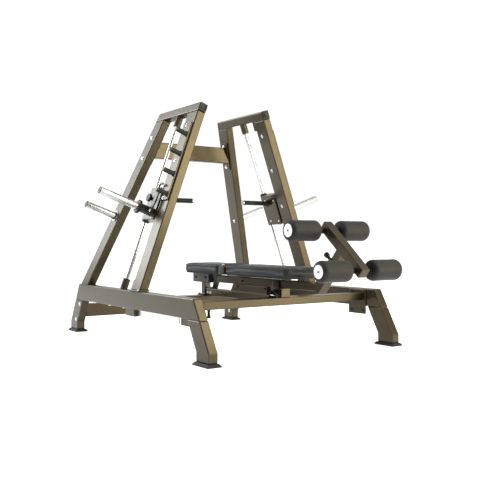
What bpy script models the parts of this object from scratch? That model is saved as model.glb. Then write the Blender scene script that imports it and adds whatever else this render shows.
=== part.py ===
"""Plate-loaded converging press with a flat bench and a roller leg hold.

Two trapezoid towers lean towards each other. Each carries a chrome guide rod, a sliding carriage with a
weight horn and a turning handle, and a rail of pegs for the carriage's safety hook. A fixed bench stands
between them, with a telescoping arm of four foam rollers at its foot end.

Axes: +X runs from the left tower to the right one, +Y towards the head end, +Z up. The origin is on the
floor under the middle of the whole machine, while every constant below counts y from the middle of the
feet. Units are metres.
"""

import math

import bmesh
import bpy
from mathutils import Vector

# ---- driving dimensions -----------------------------------------------------------------------------
GAP = 0.0003
SIDES = (("left", -1), ("right", 1))

TUBE_DEEP = 0.120
TUBE_WIDE = 0.060
TUBE_EDGE = 0.006
PLATE = 0.008
ROUND_STEPS = 24

FRAME_X = 0.708  # middle plane of each side frame
BEAM_BOTTOM = 0.247
BEAM_TOP = 0.367
LEG_LEAN = math.radians(30)
LEG_Y = 0.922  # outer face of a leg where the beam's underside meets it
LEG_BEND_Z = 0.075  # the slanted leg turns upright here
FOOT_HIGH = 0.020
FOOT_RIM = 0.007
FOOT_FLARE = 0.012

TOWER_LEAN = math.radians(20)
COLUMN_FRONT_Y = -0.175
REAR_COLUMN_Y = 0.7425  # middle of the rear column at the top of the side beam
REAR_LEAN = math.radians(16.2)  # lean of the rear column within the tower's plane
TOWER_UNDER = 1.277  # underside of the top beam, measured up the tower from the side beam
TOP_BEAM_HIGH = 0.060
BASE_PLATE_OUT = 0.010

ROD_Y = 0.1255
ROD_RADIUS = 0.0125
SOCKET_RADIUS = 0.025
SOCKET_HIGH = 0.072
SOCKET_DEPTH = 0.050
STOP_DEEP = 0.036
STOP_WIDE = 0.040
STOP_HIGH = 0.068

RAIL_THICK = 0.012
RAIL_BOTTOM = 0.622
RAIL_TOP = 1.187
RAIL_SET_BACK = 0.012
PEG_RADIUS = 0.014
PEGS = {"left": (-0.150, 0.087), "right": (-0.085, 0.041)}  # place across the column, and length
PEG_LOWEST = 0.661
PEG_PITCH = 0.144
PEG_COUNT = 4

HORN_RADIUS = 0.025
STORAGE_UP = 0.530
STORAGE_LONG = 0.243

CROSS_HIGH = 0.120
UPPER_CROSS_Z = 1.362
UPPER_FLANGE_LONG = 0.220
FLANGE_WIDE = 0.086

LOW_TUBE_HIGH = 0.050
LOW_TUBE_DEEP = 0.100
FRONT_CROSS_Y = -0.690
FRONT_CROSS_Z = 0.310
FRONT_FLANGE = 0.166
FRONT_FLANGE_BOTTOM = 0.192
MID_CROSS_Y = 0.195
MID_CROSS_Z = 0.265
REAR_CROSS_Y = 0.875
REAR_CROSS_Z = 0.165

CARRIAGE_Y = 0.046
CARRIAGE_BOTTOM = 0.490
CARRIAGE_TOP = 0.722
CARRIAGE_IN = -0.034
CARRIAGE_OUT = 0.034
HOUSING_RADIUS = 0.026
HORN_UP = 0.548
HORN_MOUNT_RADIUS = 0.030
HORN_FLANGE_RADIUS = 0.045
HORN_FLANGE_OUT = 0.118
HORN_TIP_OUT = 0.416
HANDLE_Z = 0.975
HANDLE_TIP_X = 0.209
HANDLE_RADIUS = 0.0125
GRIP_RADIUS = 0.0165
HOOK_THICK = 0.010
HOOK_OUT = 0.056
HOOK_PIVOT_Y = -0.025
HOOK_PIVOT_UP = 0.540
HOOK_TURN = math.radians(35)
HOOK_CLEAR = 0.003

PAD_BOTTOM = 0.460
PAD_THICK = 0.070
PAD_HALF_WIDE = 0.143
MAIN_PAD_Y = (-0.932, -0.238)
HEAD_PAD_Y = (-0.162, 0.306)
BENCH_TUBE_Z = 0.4205
BENCH_TUBE_HIGH = 0.050
BENCH_REAR_Y = 0.020
SPINE_REAR_Y = 0.163

AXLE_UPPER = (-1.150, 0.753)
AXLE_LOWER = (-1.414, 0.528)
AXLE_RADIUS = 0.012
ARM_TUBE = 0.060
ARM_PAST_UPPER = 0.034
ARM_PAST_LOWER = 0.044
ARM_FORWARD = 0.015  # the arm's middle line passes this far in front of its axles
ROLLER_IN = 0.083
ROLLER_OUT = 0.296
ROLLER_RADIUS = 0.061
SLEEVE_TUBE = 0.064
SLEEVE_BORE = 0.050
INNER_TUBE = 0.048
SLEEVE_TOP = 0.100  # from the arm's middle down to the mouth of the sleeve
INNER_LONG = 0.250
PIN_DOWN = 0.127
PIN_CLEAR = 0.001
PIN_TRAVEL = 0.010  # how far the pin goes into a hole from where it rests, pulled back
HOLE_PITCH = 0.030
HOLE_COUNT = 5
PIN_RADIUS = 0.005
KNOB_RADIUS = 0.016

# ---- materials --------------------------------------------------------------------------------------
PAINT = ("bronze_paint", (0.125, 0.105, 0.070), 0.38, 0.60)
DARK_PAINT = ("dark_paint", (0.020, 0.019, 0.018), 0.45, 0.20)
CHROME = ("chrome", (0.78, 0.78, 0.78), 0.12, 1.00)
STEEL = ("brushed_steel", (0.62, 0.62, 0.60), 0.30, 1.00)
VINYL = ("black_vinyl", (0.028, 0.028, 0.030), 0.50, 0.00)
FOAM = ("black_foam", (0.030, 0.027, 0.027), 0.65, 0.00)
RUBBER = ("black_rubber", (0.015, 0.015, 0.015), 0.70, 0.00)
PLASTIC = ("black_plastic", (0.012, 0.012, 0.012), 0.40, 0.00)


def clear_scene():
    for obj in list(bpy.data.objects):
        bpy.data.objects.remove(obj, do_unlink=True)


def own_material(node_name, finish):
    label, colour, roughness, metallic = finish
    material = bpy.data.materials.new(f"{node_name}_{label}")
    material.use_nodes = True
    shader = material.node_tree.nodes["Principled BSDF"]
    shader.inputs["Base Color"].default_value = (*colour, 1.0)
    shader.inputs["Roughness"].default_value = roughness
    shader.inputs["Metallic"].default_value = metallic
    return material


def frame(name, location, rotation=None, parent=None):
    """An empty that other pieces are placed in."""
    empty = bpy.data.objects.new(name, None)
    bpy.context.scene.collection.objects.link(empty)
    empty.parent = parent or machine()
    empty.location = location
    if rotation:
        empty.rotation_euler = rotation
    return empty


def machine():
    """The empty that every piece stands in, which puts the origin under the middle of the whole machine."""
    found = bpy.data.objects.get("machine")
    if found:
        return found
    empty = bpy.data.objects.new("machine", None)
    bpy.context.scene.collection.objects.link(empty)
    empty.location = (0, middle_shift(), 0)
    return empty


def middle_shift():
    front = AXLE_LOWER[0] - ROLLER_RADIUS
    rear = foot_centre_y() + foot_half_y() + FOOT_FLARE
    return -(front + rear) / 2


def piece(name, mesh_maker, finish, parent=None, location=(0, 0, 0), rotation=(0, 0, 0), edge=0.0,
          smooth=False):
    """An object from a bmesh, with its own material and, if asked, rounded edges."""
    shape = bmesh.new()
    mesh_maker(shape)
    bmesh.ops.recalc_face_normals(shape, faces=shape.faces)
    mesh = bpy.data.meshes.new(name)
    shape.to_mesh(mesh)
    shape.free()
    obj = bpy.data.objects.new(name, mesh)
    bpy.context.scene.collection.objects.link(obj)
    obj.parent = parent or machine()
    obj.location = location
    obj.rotation_euler = rotation
    obj.data.materials.append(own_material(name, finish))
    if edge:
        bevel = obj.modifiers.new("rounded_edges", "BEVEL")
        bevel.width = edge
        bevel.segments = 2
        bevel.limit_method = "ANGLE"
        bevel.angle_limit = math.radians(40)
    if smooth:
        obj.data.shade_smooth()
        obj.data.set_sharp_from_angle(angle=math.radians(40))
    return obj


def helper(obj):
    """Marks an object as a tool for a Boolean, never drawn and never a piece of its own."""
    obj.hide_render = True
    obj.display_type = "WIRE"
    return obj


def combine(obj, others, operation):
    for other in others:
        boolean = obj.modifiers.new(f"{operation.lower()}_{other.name}", "BOOLEAN")
        boolean.operation = operation
        boolean.solver = "EXACT"
        boolean.object = helper(other)
    return obj


def weld(obj, *others):
    return combine(obj, others, "UNION")


def cut(obj, *others):
    return combine(obj, others, "DIFFERENCE")


# ---- shapes -----------------------------------------------------------------------------------------
def block(low, high):
    def make(shape):
        bmesh.ops.create_cube(shape, size=1)
        low_v, high_v = Vector(low), Vector(high)
        size = high_v - low_v
        bmesh.ops.scale(shape, vec=size, verts=shape.verts)
        bmesh.ops.translate(shape, vec=(low_v + high_v) / 2, verts=shape.verts)
    return make


def prism(outline, low, high, axis="X"):
    """An outline of two coordinates, extruded from low to high along an axis."""
    def point(first, second, along):
        return {"X": (along, first, second), "Y": (first, along, second), "Z": (first, second, along)}[axis]

    def make(shape):
        base = [shape.verts.new(point(*corner, low)) for corner in outline]
        face = shape.faces.new(base)
        grown = bmesh.ops.extrude_face_region(shape, geom=[face])
        moved = [item for item in grown["geom"] if isinstance(item, bmesh.types.BMVert)]
        bmesh.ops.translate(shape, vec=point(0, 0, high - low), verts=moved)
    return make


def stack(*layers):
    """A closed solid through a stack of four-cornered outlines."""
    def make(shape):
        rings = [[shape.verts.new(corner) for corner in layer] for layer in layers]
        shape.faces.new(rings[0])
        shape.faces.new(rings[-1])
        for low, high in zip(rings, rings[1:]):
            for i in range(4):
                j = (i + 1) % 4
                shape.faces.new((low[i], low[j], high[j], high[i]))
    return make


def turned(profile, axis="Z", steps=ROUND_STEPS):
    """A profile of (along, radius) pairs turned about an axis; radius 0 at both ends closes it."""
    def point(along, radius, angle):
        a, b = radius * math.cos(angle), radius * math.sin(angle)
        return {"X": (along, a, b), "Y": (a, along, b), "Z": (a, b, along)}[axis]

    def make(shape):
        rings = []
        for along, radius in profile:
            if radius == 0:
                rings.append([shape.verts.new(point(along, 0, 0))])
            else:
                rings.append([shape.verts.new(point(along, radius, math.tau * k / steps))
                              for k in range(steps)])
        for near, far in zip(rings, rings[1:]):
            for k in range(steps):
                m = (k + 1) % steps
                corners = [near[k % len(near)], near[m % len(near)], far[m % len(far)], far[k % len(far)]]
                distinct = list(dict.fromkeys(corners))
                shape.faces.new(distinct)
    return make


def rod(radius, low, high, axis="Z", steps=ROUND_STEPS):
    return turned([(low, 0), (low, radius), (high, radius), (high, 0)], axis, steps)


def sleeve(inner, outer, low, high, axis="Z", steps=ROUND_STEPS):
    """A plain ring: a round bar with a bore right through."""
    def make(shape):
        turned([(low, inner), (low, outer), (high, outer), (high, inner), (low, inner)], axis, steps)(shape)
        bmesh.ops.remove_doubles(shape, verts=shape.verts, dist=1e-6)
    return make


# ---- base -------------------------------------------------------------------------------------------
def leg_outline(face_sign):
    """One leg in the YZ plane: slanted, with a short upright end, for the front (-1) or rear (+1)."""
    slope = math.tan(LEG_LEAN)
    deep = TUBE_DEEP / math.cos(LEG_LEAN)

    def outer(z):
        return LEG_Y - slope * (z - BEAM_BOTTOM)
    foot_top = FOOT_HIGH + GAP
    points = [
        (outer(BEAM_BOTTOM), BEAM_BOTTOM - GAP),
        (outer(LEG_BEND_Z), LEG_BEND_Z),
        (outer(LEG_BEND_Z), foot_top),
        (outer(LEG_BEND_Z) - deep, foot_top),
        (outer(LEG_BEND_Z) - deep, LEG_BEND_Z),
        (outer(BEAM_BOTTOM) - deep, BEAM_BOTTOM - GAP),
    ]
    return [(face_sign * y, z) for y, z in points]


def foot_centre_y():
    outer = LEG_Y + math.tan(LEG_LEAN) * (BEAM_BOTTOM - LEG_BEND_Z)
    return outer - TUBE_DEEP / math.cos(LEG_LEAN) / 2


def foot_half_y():
    return TUBE_DEEP / math.cos(LEG_LEAN) / 2 + 0.004


def side_beam(name, side):
    """The long tube of one side; its ends follow the slope of the legs."""
    slope = math.tan(LEG_LEAN)
    top_y = LEG_Y - slope * (BEAM_TOP - BEAM_BOTTOM)
    outline = [(-LEG_Y, BEAM_BOTTOM), (-top_y, BEAM_TOP), (top_y, BEAM_TOP), (LEG_Y, BEAM_BOTTOM)]
    piece(f"{name}_side_beam", prism(outline, -TUBE_WIDE / 2, TUBE_WIDE / 2), PAINT,
          location=(side * FRAME_X, 0, 0), edge=TUBE_EDGE)


def legs_and_feet(name, side):
    half = TUBE_WIDE / 2
    for end, sign in (("front", -1), ("rear", 1)):
        piece(f"{name}_{end}_leg", prism(leg_outline(sign), -half, half), PAINT,
              location=(side * FRAME_X, 0, 0), edge=TUBE_EDGE)
        centre = sign * foot_centre_y()
        half_y = foot_half_y()
        half_x = half + 0.004

        def ring(grow, z, half_x=half_x, half_y=half_y):
            return [(sx * (half_x + grow), sy * (half_y + grow), z)
                    for sx, sy in ((-1, -1), (1, -1), (1, 1), (-1, 1))]
        shape = stack(ring(FOOT_FLARE, 0), ring(FOOT_FLARE, FOOT_RIM), ring(0, FOOT_HIGH))
        piece(f"{name}_{end}_foot", shape, RUBBER, location=(side * FRAME_X, centre, 0), edge=0.002)


def cross_tube(name, y, z, deep, high, finish=PAINT):
    reach = FRAME_X - TUBE_WIDE / 2 - GAP
    return piece(name, block((-reach, y - deep / 2, z - high / 2), (reach, y + deep / 2, z + high / 2)),
                 finish, edge=0.004)


def low_cross_beams():
    """Three tubes between the side frames; the front one is bolted on through end plates."""
    reach = FRAME_X - TUBE_WIDE / 2 - GAP
    front = cross_tube("front_cross_beam", FRONT_CROSS_Y, FRONT_CROSS_Z, LOW_TUBE_DEEP, LOW_TUBE_HIGH)
    plates = []
    half = FRONT_FLANGE / 2
    for name, side in SIDES:
        inner, outer = sorted((side * (reach - PLATE), side * reach))
        plates.append(piece(f"{name}_front_end_plate", block(
            (inner, FRONT_CROSS_Y - half, FRONT_FLANGE_BOTTOM),
            (outer, FRONT_CROSS_Y + half, FRONT_FLANGE_BOTTOM + FRONT_FLANGE)), PAINT, edge=0.002))
    weld(front, *plates)
    cross_tube("mid_cross_beam", MID_CROSS_Y, MID_CROSS_Z, TUBE_DEEP, TUBE_WIDE)
    cross_tube("rear_cross_beam", REAR_CROSS_Y, REAR_CROSS_Z, LOW_TUBE_HIGH, LOW_TUBE_DEEP)


def left_panel():
    """A plain steel strip under the left beam, held by a bracket at its rear end."""
    inner = -(FRAME_X - TUBE_WIDE / 2 + 0.004)
    top, bottom = BEAM_BOTTOM - GAP, FRONT_FLANGE_BOTTOM + 0.006
    front_y = FRONT_CROSS_Y + FRONT_FLANGE / 2 + GAP
    piece("side_panel", block((inner - 0.006, front_y + 0.002, bottom), (inner, -0.045, top)), STEEL,
          edge=0.0015)
    piece("panel_bracket", block((inner - 0.030, -0.045 + GAP, bottom - 0.004), (inner + 0.004, 0.090, top)),
          DARK_PAINT, edge=0.003)


# ---- towers -----------------------------------------------------------------------------------------
def rear_column_middle(up):
    return REAR_COLUMN_Y - math.tan(REAR_LEAN) * up


def floor_cut(z, out):
    """How far up the tower a level plane at height z lies, for a point this far out from its middle."""
    return (z - BEAM_TOP - out * math.sin(TOWER_LEAN)) / math.cos(TOWER_LEAN)


def column(name, tower, side, z, front, rear, top, finish=PAINT):
    """A tube from a level cut at height z to a square cut at top; front and rear give y going up."""
    half = TUBE_WIDE / 2
    corners = ((-half, front), (half, front), (half, rear), (-half, rear))
    bottom_points = []
    top_points = []
    for out, line in corners:
        low = floor_cut(z, out)
        bottom_points.append((side * out, line(low), low))
        top_points.append((side * out, line(top), top))
    return piece(name, stack(bottom_points, top_points), finish, parent=tower, edge=TUBE_EDGE)


def tower(name, side):
    """One tower in its own leaning frame: x is across the tube, z runs up the tower."""
    lean = frame(f"{name}_tower", (side * FRAME_X, 0, BEAM_TOP), (0, -side * TOWER_LEAN, 0))
    half_deep = TUBE_DEEP / math.cos(REAR_LEAN) / 2
    under = TOWER_UNDER - GAP
    column(f"{name}_front_column", lean, side, BEAM_TOP + PLATE + 2 * GAP, lambda up: COLUMN_FRONT_Y,
           lambda up: COLUMN_FRONT_Y + TUBE_DEEP, under)
    base_plate(name, lean)
    column(f"{name}_rear_column", lean, side, BEAM_TOP + GAP, lambda up: rear_column_middle(up) - half_deep,
           lambda up: rear_column_middle(up) + half_deep, under)
    top_beam(name, lean)
    guide_rod(name, lean)
    peg_rail(name, lean, side)
    storage_horn(name, lean, side)
    return lean


def top_beam(name, lean):
    """The short tube that closes the tower, with the rod's upper socket and the upper stop welded on."""
    half = TUBE_WIDE / 2
    rear_half = TUBE_DEEP / math.cos(REAR_LEAN) / 2
    top = TOWER_UNDER + TOP_BEAM_HIGH
    outline = [(COLUMN_FRONT_Y, TOWER_UNDER), (COLUMN_FRONT_Y, top),
               (rear_column_middle(top) + rear_half, top),
               (rear_column_middle(TOWER_UNDER) + rear_half, TOWER_UNDER)]
    beam = piece(f"{name}_top_beam", prism(outline, -half, half), PAINT, parent=lean, edge=TUBE_EDGE)
    socket = piece(f"{name}_upper_socket", rod(SOCKET_RADIUS, TOWER_UNDER - SOCKET_HIGH, TOWER_UNDER + half),
                   PAINT, parent=lean, location=(0, ROD_Y, 0), smooth=True)
    rear = COLUMN_FRONT_Y + TUBE_DEEP + 2 * GAP
    stop = piece(f"{name}_upper_stop", block((-STOP_WIDE / 2, rear, TOWER_UNDER - STOP_HIGH),
                                             (STOP_WIDE / 2, rear + STOP_DEEP, TOWER_UNDER + half)),
                 PAINT, parent=lean, edge=0.003)
    hole = piece(f"{name}_upper_socket_hole", rod(
        ROD_RADIUS + GAP, TOWER_UNDER - SOCKET_HIGH - 0.01, TOWER_UNDER - SOCKET_HIGH + SOCKET_DEPTH + GAP),
        PAINT, parent=lean, location=(0, ROD_Y, 0))
    weld(beam, socket, stop)
    cut(beam, hole)


def guide_rod(name, lean):
    """The chrome rod between its sockets, and the lower socket that stands on the side beam."""
    level = floor_cut(BEAM_TOP + GAP, 0)
    half_drop = SOCKET_RADIUS * math.tan(TOWER_LEAN)
    socket = piece(f"{name}_lower_socket", rod(SOCKET_RADIUS, level - half_drop, SOCKET_HIGH), PAINT,
                   parent=lean, location=(0, ROD_Y, 0), smooth=True)
    below = block((-0.1, -0.1, BEAM_TOP - 0.1), (0.1, 0.4, BEAM_TOP + GAP))
    floor = piece(f"{name}_socket_floor", below, PAINT, location=(lean.location.x, 0, 0))
    bore = rod(ROD_RADIUS + GAP, SOCKET_HIGH - SOCKET_DEPTH - GAP, SOCKET_HIGH + 0.01)
    hole = piece(f"{name}_lower_socket_hole", bore, PAINT, parent=lean, location=(0, ROD_Y, 0))
    cut(socket, floor, hole)
    piece(f"{name}_guide_rod", rod(ROD_RADIUS, SOCKET_HIGH - SOCKET_DEPTH,
                                   TOWER_UNDER - SOCKET_HIGH + SOCKET_DEPTH), CHROME,
          parent=lean, location=(0, ROD_Y, 0), smooth=True)


def base_plate(name, lean):
    """The plate under the front column, with the lower travel stop standing on it behind the column."""
    half = TUBE_WIDE / 2
    low, high = BEAM_TOP + GAP, BEAM_TOP + GAP + PLATE
    front, rear = COLUMN_FRONT_Y - BASE_PLATE_OUT, COLUMN_FRONT_Y + TUBE_DEEP + 2 * GAP
    plate = piece(f"{name}_base_plate", block((-half - BASE_PLATE_OUT, front, low),
                                              (half + BASE_PLATE_OUT, rear + STOP_DEEP, high)), PAINT,
                  location=(lean.location.x, 0, 0), edge=0.002)
    half_stop = STOP_WIDE / 2
    side = math.copysign(1, lean.location.x)
    corners = ((-half_stop, rear), (half_stop, rear), (half_stop, rear + STOP_DEEP - 0.004),
               (-half_stop, rear + STOP_DEEP - 0.004))
    bottom = [(x, y, floor_cut(high - 0.004, side * x)) for x, y in corners]
    top = [(x, y, STOP_HIGH) for x, y in corners]
    stop = piece(f"{name}_lower_stop", stack(bottom, top), PAINT, parent=lean, edge=0.003)
    weld(plate, stop)


def peg_rail(name, lean, side):
    """A flat bar on the column's outer face that carries the row of pegs."""
    inner = TUBE_WIDE / 2 + GAP
    near, far = sorted((side * inner, side * (inner + RAIL_THICK)))
    rail = piece(f"{name}_peg_rail", block((near, COLUMN_FRONT_Y + RAIL_SET_BACK, RAIL_BOTTOM),
                                           (far, COLUMN_FRONT_Y + TUBE_DEEP - 0.004, RAIL_TOP)), PAINT,
                 parent=lean, edge=0.002)
    peg_y, peg_long = PEGS[name]
    pegs = []
    for k in range(PEG_COUNT):
        root, tip = inner + RAIL_THICK / 2, inner + RAIL_THICK + peg_long
        profile = [(side * root, 0), (side * root, PEG_RADIUS), (side * (tip - 0.003), PEG_RADIUS),
                   (side * tip, PEG_RADIUS - 0.003), (side * tip, 0)]
        pegs.append(piece(f"{name}_peg_{k + 1}", turned(profile, "X", 16), DARK_PAINT, parent=lean,
                          location=(0, peg_y, PEG_LOWEST + k * PEG_PITCH), smooth=True))
    weld(rail, *pegs)


def storage_horn(name, lean, side):
    """The chrome sleeve on the rear column where spare plates wait."""
    root = TUBE_WIDE / 2 + GAP
    profile = [(root, 0), (root, HORN_FLANGE_RADIUS - 0.005), (root + PLATE, HORN_FLANGE_RADIUS - 0.005),
               (root + PLATE, HORN_RADIUS), (root + STORAGE_LONG - 0.003, HORN_RADIUS),
               (root + STORAGE_LONG, HORN_RADIUS - 0.003), (root + STORAGE_LONG, 0)]
    piece(f"{name}_storage_horn", turned([(side * a, r) for a, r in profile], "X"), CHROME, parent=lean,
          location=(0, rear_column_middle(STORAGE_UP), STORAGE_UP), smooth=True)


def upper_cross_beam():
    """The tube that ties the rear columns together, between two bolted end plates."""
    out = TUBE_WIDE / 2 + GAP + PLATE
    up = (UPPER_CROSS_Z - BEAM_TOP + out * math.sin(TOWER_LEAN)) / math.cos(TOWER_LEAN)
    y = rear_column_middle(up)
    half = TUBE_WIDE / 2

    def reach(z):
        rise = z - BEAM_TOP
        return FRAME_X - math.tan(TOWER_LEAN) * rise - (out - PLATE / 2) / math.cos(TOWER_LEAN)
    low, high = UPPER_CROSS_Z - CROSS_HIGH / 2, UPPER_CROSS_Z + CROSS_HIGH / 2
    outline = [(-reach(low), low), (reach(low), low), (reach(high), high), (-reach(high), high)]
    beam = piece("upper_cross_beam", prism(outline, y - half, y + half, "Y"), PAINT, edge=TUBE_EDGE)
    plates = []
    for name, side in SIDES:
        near, far = sorted((-side * (out - PLATE), -side * out))
        lean = frame(f"{name}_flange_frame", (side * FRAME_X, 0, BEAM_TOP), (0, -side * TOWER_LEAN, 0))
        plates.append(piece(f"{name}_upper_end_plate", block(
            (near, -FLANGE_WIDE / 2, -UPPER_FLANGE_LONG / 2), (far, FLANGE_WIDE / 2, UPPER_FLANGE_LONG / 2)),
            PAINT, parent=lean, location=(0, y, up), rotation=(REAR_LEAN, 0, 0), edge=0.002))
    weld(beam, *plates)


# ---- carriages --------------------------------------------------------------------------------------
def carriage(name, side, lean):
    """The sliding block on the guide rod, its ear for the hook, the weight horn and the handle."""
    slide = frame(f"{name}_carriage", (0, ROD_Y, CARRIAGE_BOTTOM), parent=lean)
    long = CARRIAGE_TOP - CARRIAGE_BOTTOM
    front = COLUMN_FRONT_Y + TUBE_DEEP + 0.012 - ROD_Y
    near, far = sorted((side * CARRIAGE_IN, side * CARRIAGE_OUT))
    outline = [(front, 0.010), (front, long - 0.030), (front + 0.030, long), (0, long), (0, 0),
               (front + 0.010, 0)]
    body = piece(f"{name}_carriage_block", prism(outline, near, far), PAINT, parent=slide, edge=0.004)
    housing = piece(f"{name}_bearing_housing", rod(HOUSING_RADIUS, -0.006, long + 0.006), PAINT, parent=slide,
                    smooth=True)
    ear_near, ear_far = sorted((side * (CARRIAGE_OUT - 0.006), side * HOOK_OUT))
    pivot_y = HOOK_PIVOT_Y - ROD_Y
    pivot_up = HOOK_PIVOT_UP - CARRIAGE_BOTTOM
    ear = piece(f"{name}_hook_ear", block((ear_near, front + 0.002, pivot_up - 0.018),
                                          (ear_far, pivot_y + 0.018, pivot_up + 0.018)), PAINT,
                parent=slide, edge=0.002)
    hole = piece(f"{name}_carriage_bore", rod(ROD_RADIUS + GAP, -0.02, long + 0.02), PAINT, parent=slide)
    weld(body, housing, ear)
    cut(body, hole)
    horn_mount(name, side, slide)
    handle(name, side)
    hook(name, side, slide)


def horn_mount(name, side, slide):
    """A painted stub with a stop flange, and the chrome sleeve that the plates slide on."""
    y, up = CARRIAGE_Y - ROD_Y, HORN_UP - CARRIAGE_BOTTOM
    root = CARRIAGE_OUT + GAP
    face = HORN_FLANGE_OUT + 0.012
    stub = [(root, 0), (root, HORN_MOUNT_RADIUS), (HORN_FLANGE_OUT, HORN_MOUNT_RADIUS),
            (HORN_FLANGE_OUT, HORN_FLANGE_RADIUS), (face, HORN_FLANGE_RADIUS), (face, 0)]
    piece(f"{name}_horn_mount", turned([(side * a, r) for a, r in stub], "X"), DARK_PAINT, parent=slide,
          location=(0, y, up), smooth=True)
    tip = HORN_TIP_OUT
    tube = [(face + GAP, 0), (face + GAP, HORN_RADIUS), (tip - 0.003, HORN_RADIUS),
            (tip, HORN_RADIUS - 0.003), (tip, 0)]
    piece(f"{name}_weight_horn", turned([(side * a, r) for a, r in tube], "X"), CHROME, parent=slide,
          location=(0, y, up), smooth=True)


def handle_root_x():
    """Where a level handle bar meets the carriage's inner face, clear of the slope of that face."""
    middle = FRAME_X - math.tan(TOWER_LEAN) * (HANDLE_Z - BEAM_TOP)
    inward = -CARRIAGE_IN / math.cos(TOWER_LEAN) + HANDLE_RADIUS * math.tan(TOWER_LEAN)
    return middle - inward - 2 * GAP


def handle(name, side):
    """A level bar that turns about its own length, with a black grip over it."""
    root = handle_root_x()
    grip_in, grip_out = HANDLE_TIP_X + 0.014, root - 0.012
    axis = frame(f"{name}_handle", (side * root, CARRIAGE_Y, HANDLE_Z))
    bar = [(0, 0), (0, HANDLE_RADIUS), (root - grip_in + 0.002, HANDLE_RADIUS),
           (root - grip_in + 0.002, GRIP_RADIUS - 0.001),
           (root - HANDLE_TIP_X - 0.003, GRIP_RADIUS - 0.001), (root - HANDLE_TIP_X, GRIP_RADIUS - 0.004),
           (root - HANDLE_TIP_X, 0)]
    piece(f"{name}_handle_bar", turned([(-side * a, r) for a, r in bar], "X"), CHROME, parent=axis,
          smooth=True)
    low, high = sorted((-side * (root - grip_out), -side * (root - grip_in)))
    piece(f"{name}_grip", sleeve(HANDLE_RADIUS + GAP, GRIP_RADIUS, low, high, "X"), RUBBER, parent=axis,
          smooth=True)


def hook(name, side, slide):
    """The safety hook: a flat arm with a jaw that closes over a peg when it turns forward."""
    pivot = (0, HOOK_PIVOT_Y - ROD_Y, HOOK_PIVOT_UP - CARRIAGE_BOTTOM)
    to_peg = Vector((PEGS[name][0] - HOOK_PIVOT_Y, PEG_LOWEST - HOOK_PIVOT_UP))
    reach = to_peg.length
    closed_angle = math.atan2(-to_peg.x, to_peg.y)
    open_angle = closed_angle - HOOK_TURN
    mouth = PEG_RADIUS + HOOK_CLEAR
    jaw = mouth + 0.014
    steps = 8
    # Drawn with the arm straight up and the jaw's mouth open towards -y, then turned to the open angle.
    outline = [(0.018, -0.018), (0.018, reach)]
    outline += [(jaw * math.cos(a), reach + jaw * math.sin(a))
                for a in [math.pi / 2 * k / steps for k in range(1, steps + 1)]]
    outline += [(-0.016, reach + jaw), (-0.022, reach + mouth)]
    outline += [(mouth * math.cos(a), reach + mouth * math.sin(a))
                for a in [math.pi / 2 - math.pi * k / steps for k in range(steps + 1)]]
    outline += [(-0.010, reach - mouth), (-0.018, reach - mouth - 0.012), (-0.018, -0.018)]
    near, far = sorted((side * (HOOK_OUT + GAP), side * (HOOK_OUT + GAP + HOOK_THICK)))
    piece(f"{name}_safety_hook", prism(outline, near, far), STEEL, parent=slide, location=pivot,
          rotation=(open_angle, 0, 0))


# ---- bench ------------------------------------------------------------------------------------------
def bench():
    half = 0.030
    mid_top = MID_CROSS_Z + TUBE_WIDE / 2 + GAP
    spine_low = mid_top
    spine_top = spine_low + LOW_TUBE_HIGH
    tube_low = BENCH_TUBE_Z - BENCH_TUBE_HIGH / 2
    front_face = FRONT_CROSS_Y + LOW_TUBE_DEEP / 2 + GAP
    piece("bench_spine", block((-half, front_face, spine_low), (half, SPINE_REAR_Y, spine_top)), PAINT,
          edge=0.004)
    side_low, side_high = spine_top + GAP, tube_low - GAP
    piece("bench_side_box", prism([(-0.600, side_low), (-0.600, side_high), (-0.205, side_high),
                                   (-0.165, side_low)], -half - 0.006, half + 0.006), PAINT, edge=0.004)
    low_top = FRONT_CROSS_Z + LOW_TUBE_HIGH / 2 + GAP
    piece("bench_front_saddle", block((-half - 0.006, FRONT_CROSS_Y - 0.062, low_top),
                                      (half + 0.006, front_face - GAP, side_high)), PAINT, edge=0.004)
    post_low = mid_top + PLATE
    post = piece("bench_rear_post", block((-0.025, 0.190, post_low), (0.025, 0.240, 0.388)), PAINT,
                 edge=0.004)
    under_post = block((-0.050, SPINE_REAR_Y + 0.002, mid_top), (0.050, 0.258, mid_top + PLATE + 0.001))
    plate = piece("post_base_plate", under_post, DARK_PAINT, edge=0.002)
    weld(post, plate)
    piece("head_pad_saddle", block((-0.045, 0.105, 0.388 + GAP), (0.045, 0.330, PAD_BOTTOM - GAP)),
          DARK_PAINT, edge=0.004)
    foot, top = spine_top + GAP, PAD_BOTTOM - GAP
    piece("head_pad_brace", prism([(0.088, foot), (0.150, foot), (0.150, foot + 0.010), (0.092, foot + 0.010),
                                   (0.062, top), (0.024, top)], -0.022, 0.022), DARK_PAINT, edge=0.0015)


def pads():
    """Plain closed forms with rounded edges; the upholstery is a matter of finish."""
    for name, (low, high) in (("main_pad", MAIN_PAD_Y), ("head_pad", HEAD_PAD_Y)):
        piece(name, block((-PAD_HALF_WIDE, low, PAD_BOTTOM), (PAD_HALF_WIDE, high, PAD_BOTTOM + PAD_THICK)),
              VINYL, edge=0.014)


# ---- leg hold ---------------------------------------------------------------------------------------
def leg_hold_geometry():
    """The arm's middle and direction, and the direction of the tube that carries it, as (y, z)."""
    upper, lower = Vector(AXLE_UPPER), Vector(AXLE_LOWER)
    along = (lower - upper).normalized()
    out = Vector((along.y, -along.x))
    middle = (upper + lower) / 2 + out * ARM_FORWARD
    return middle, along, out, (lower - upper).length


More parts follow.
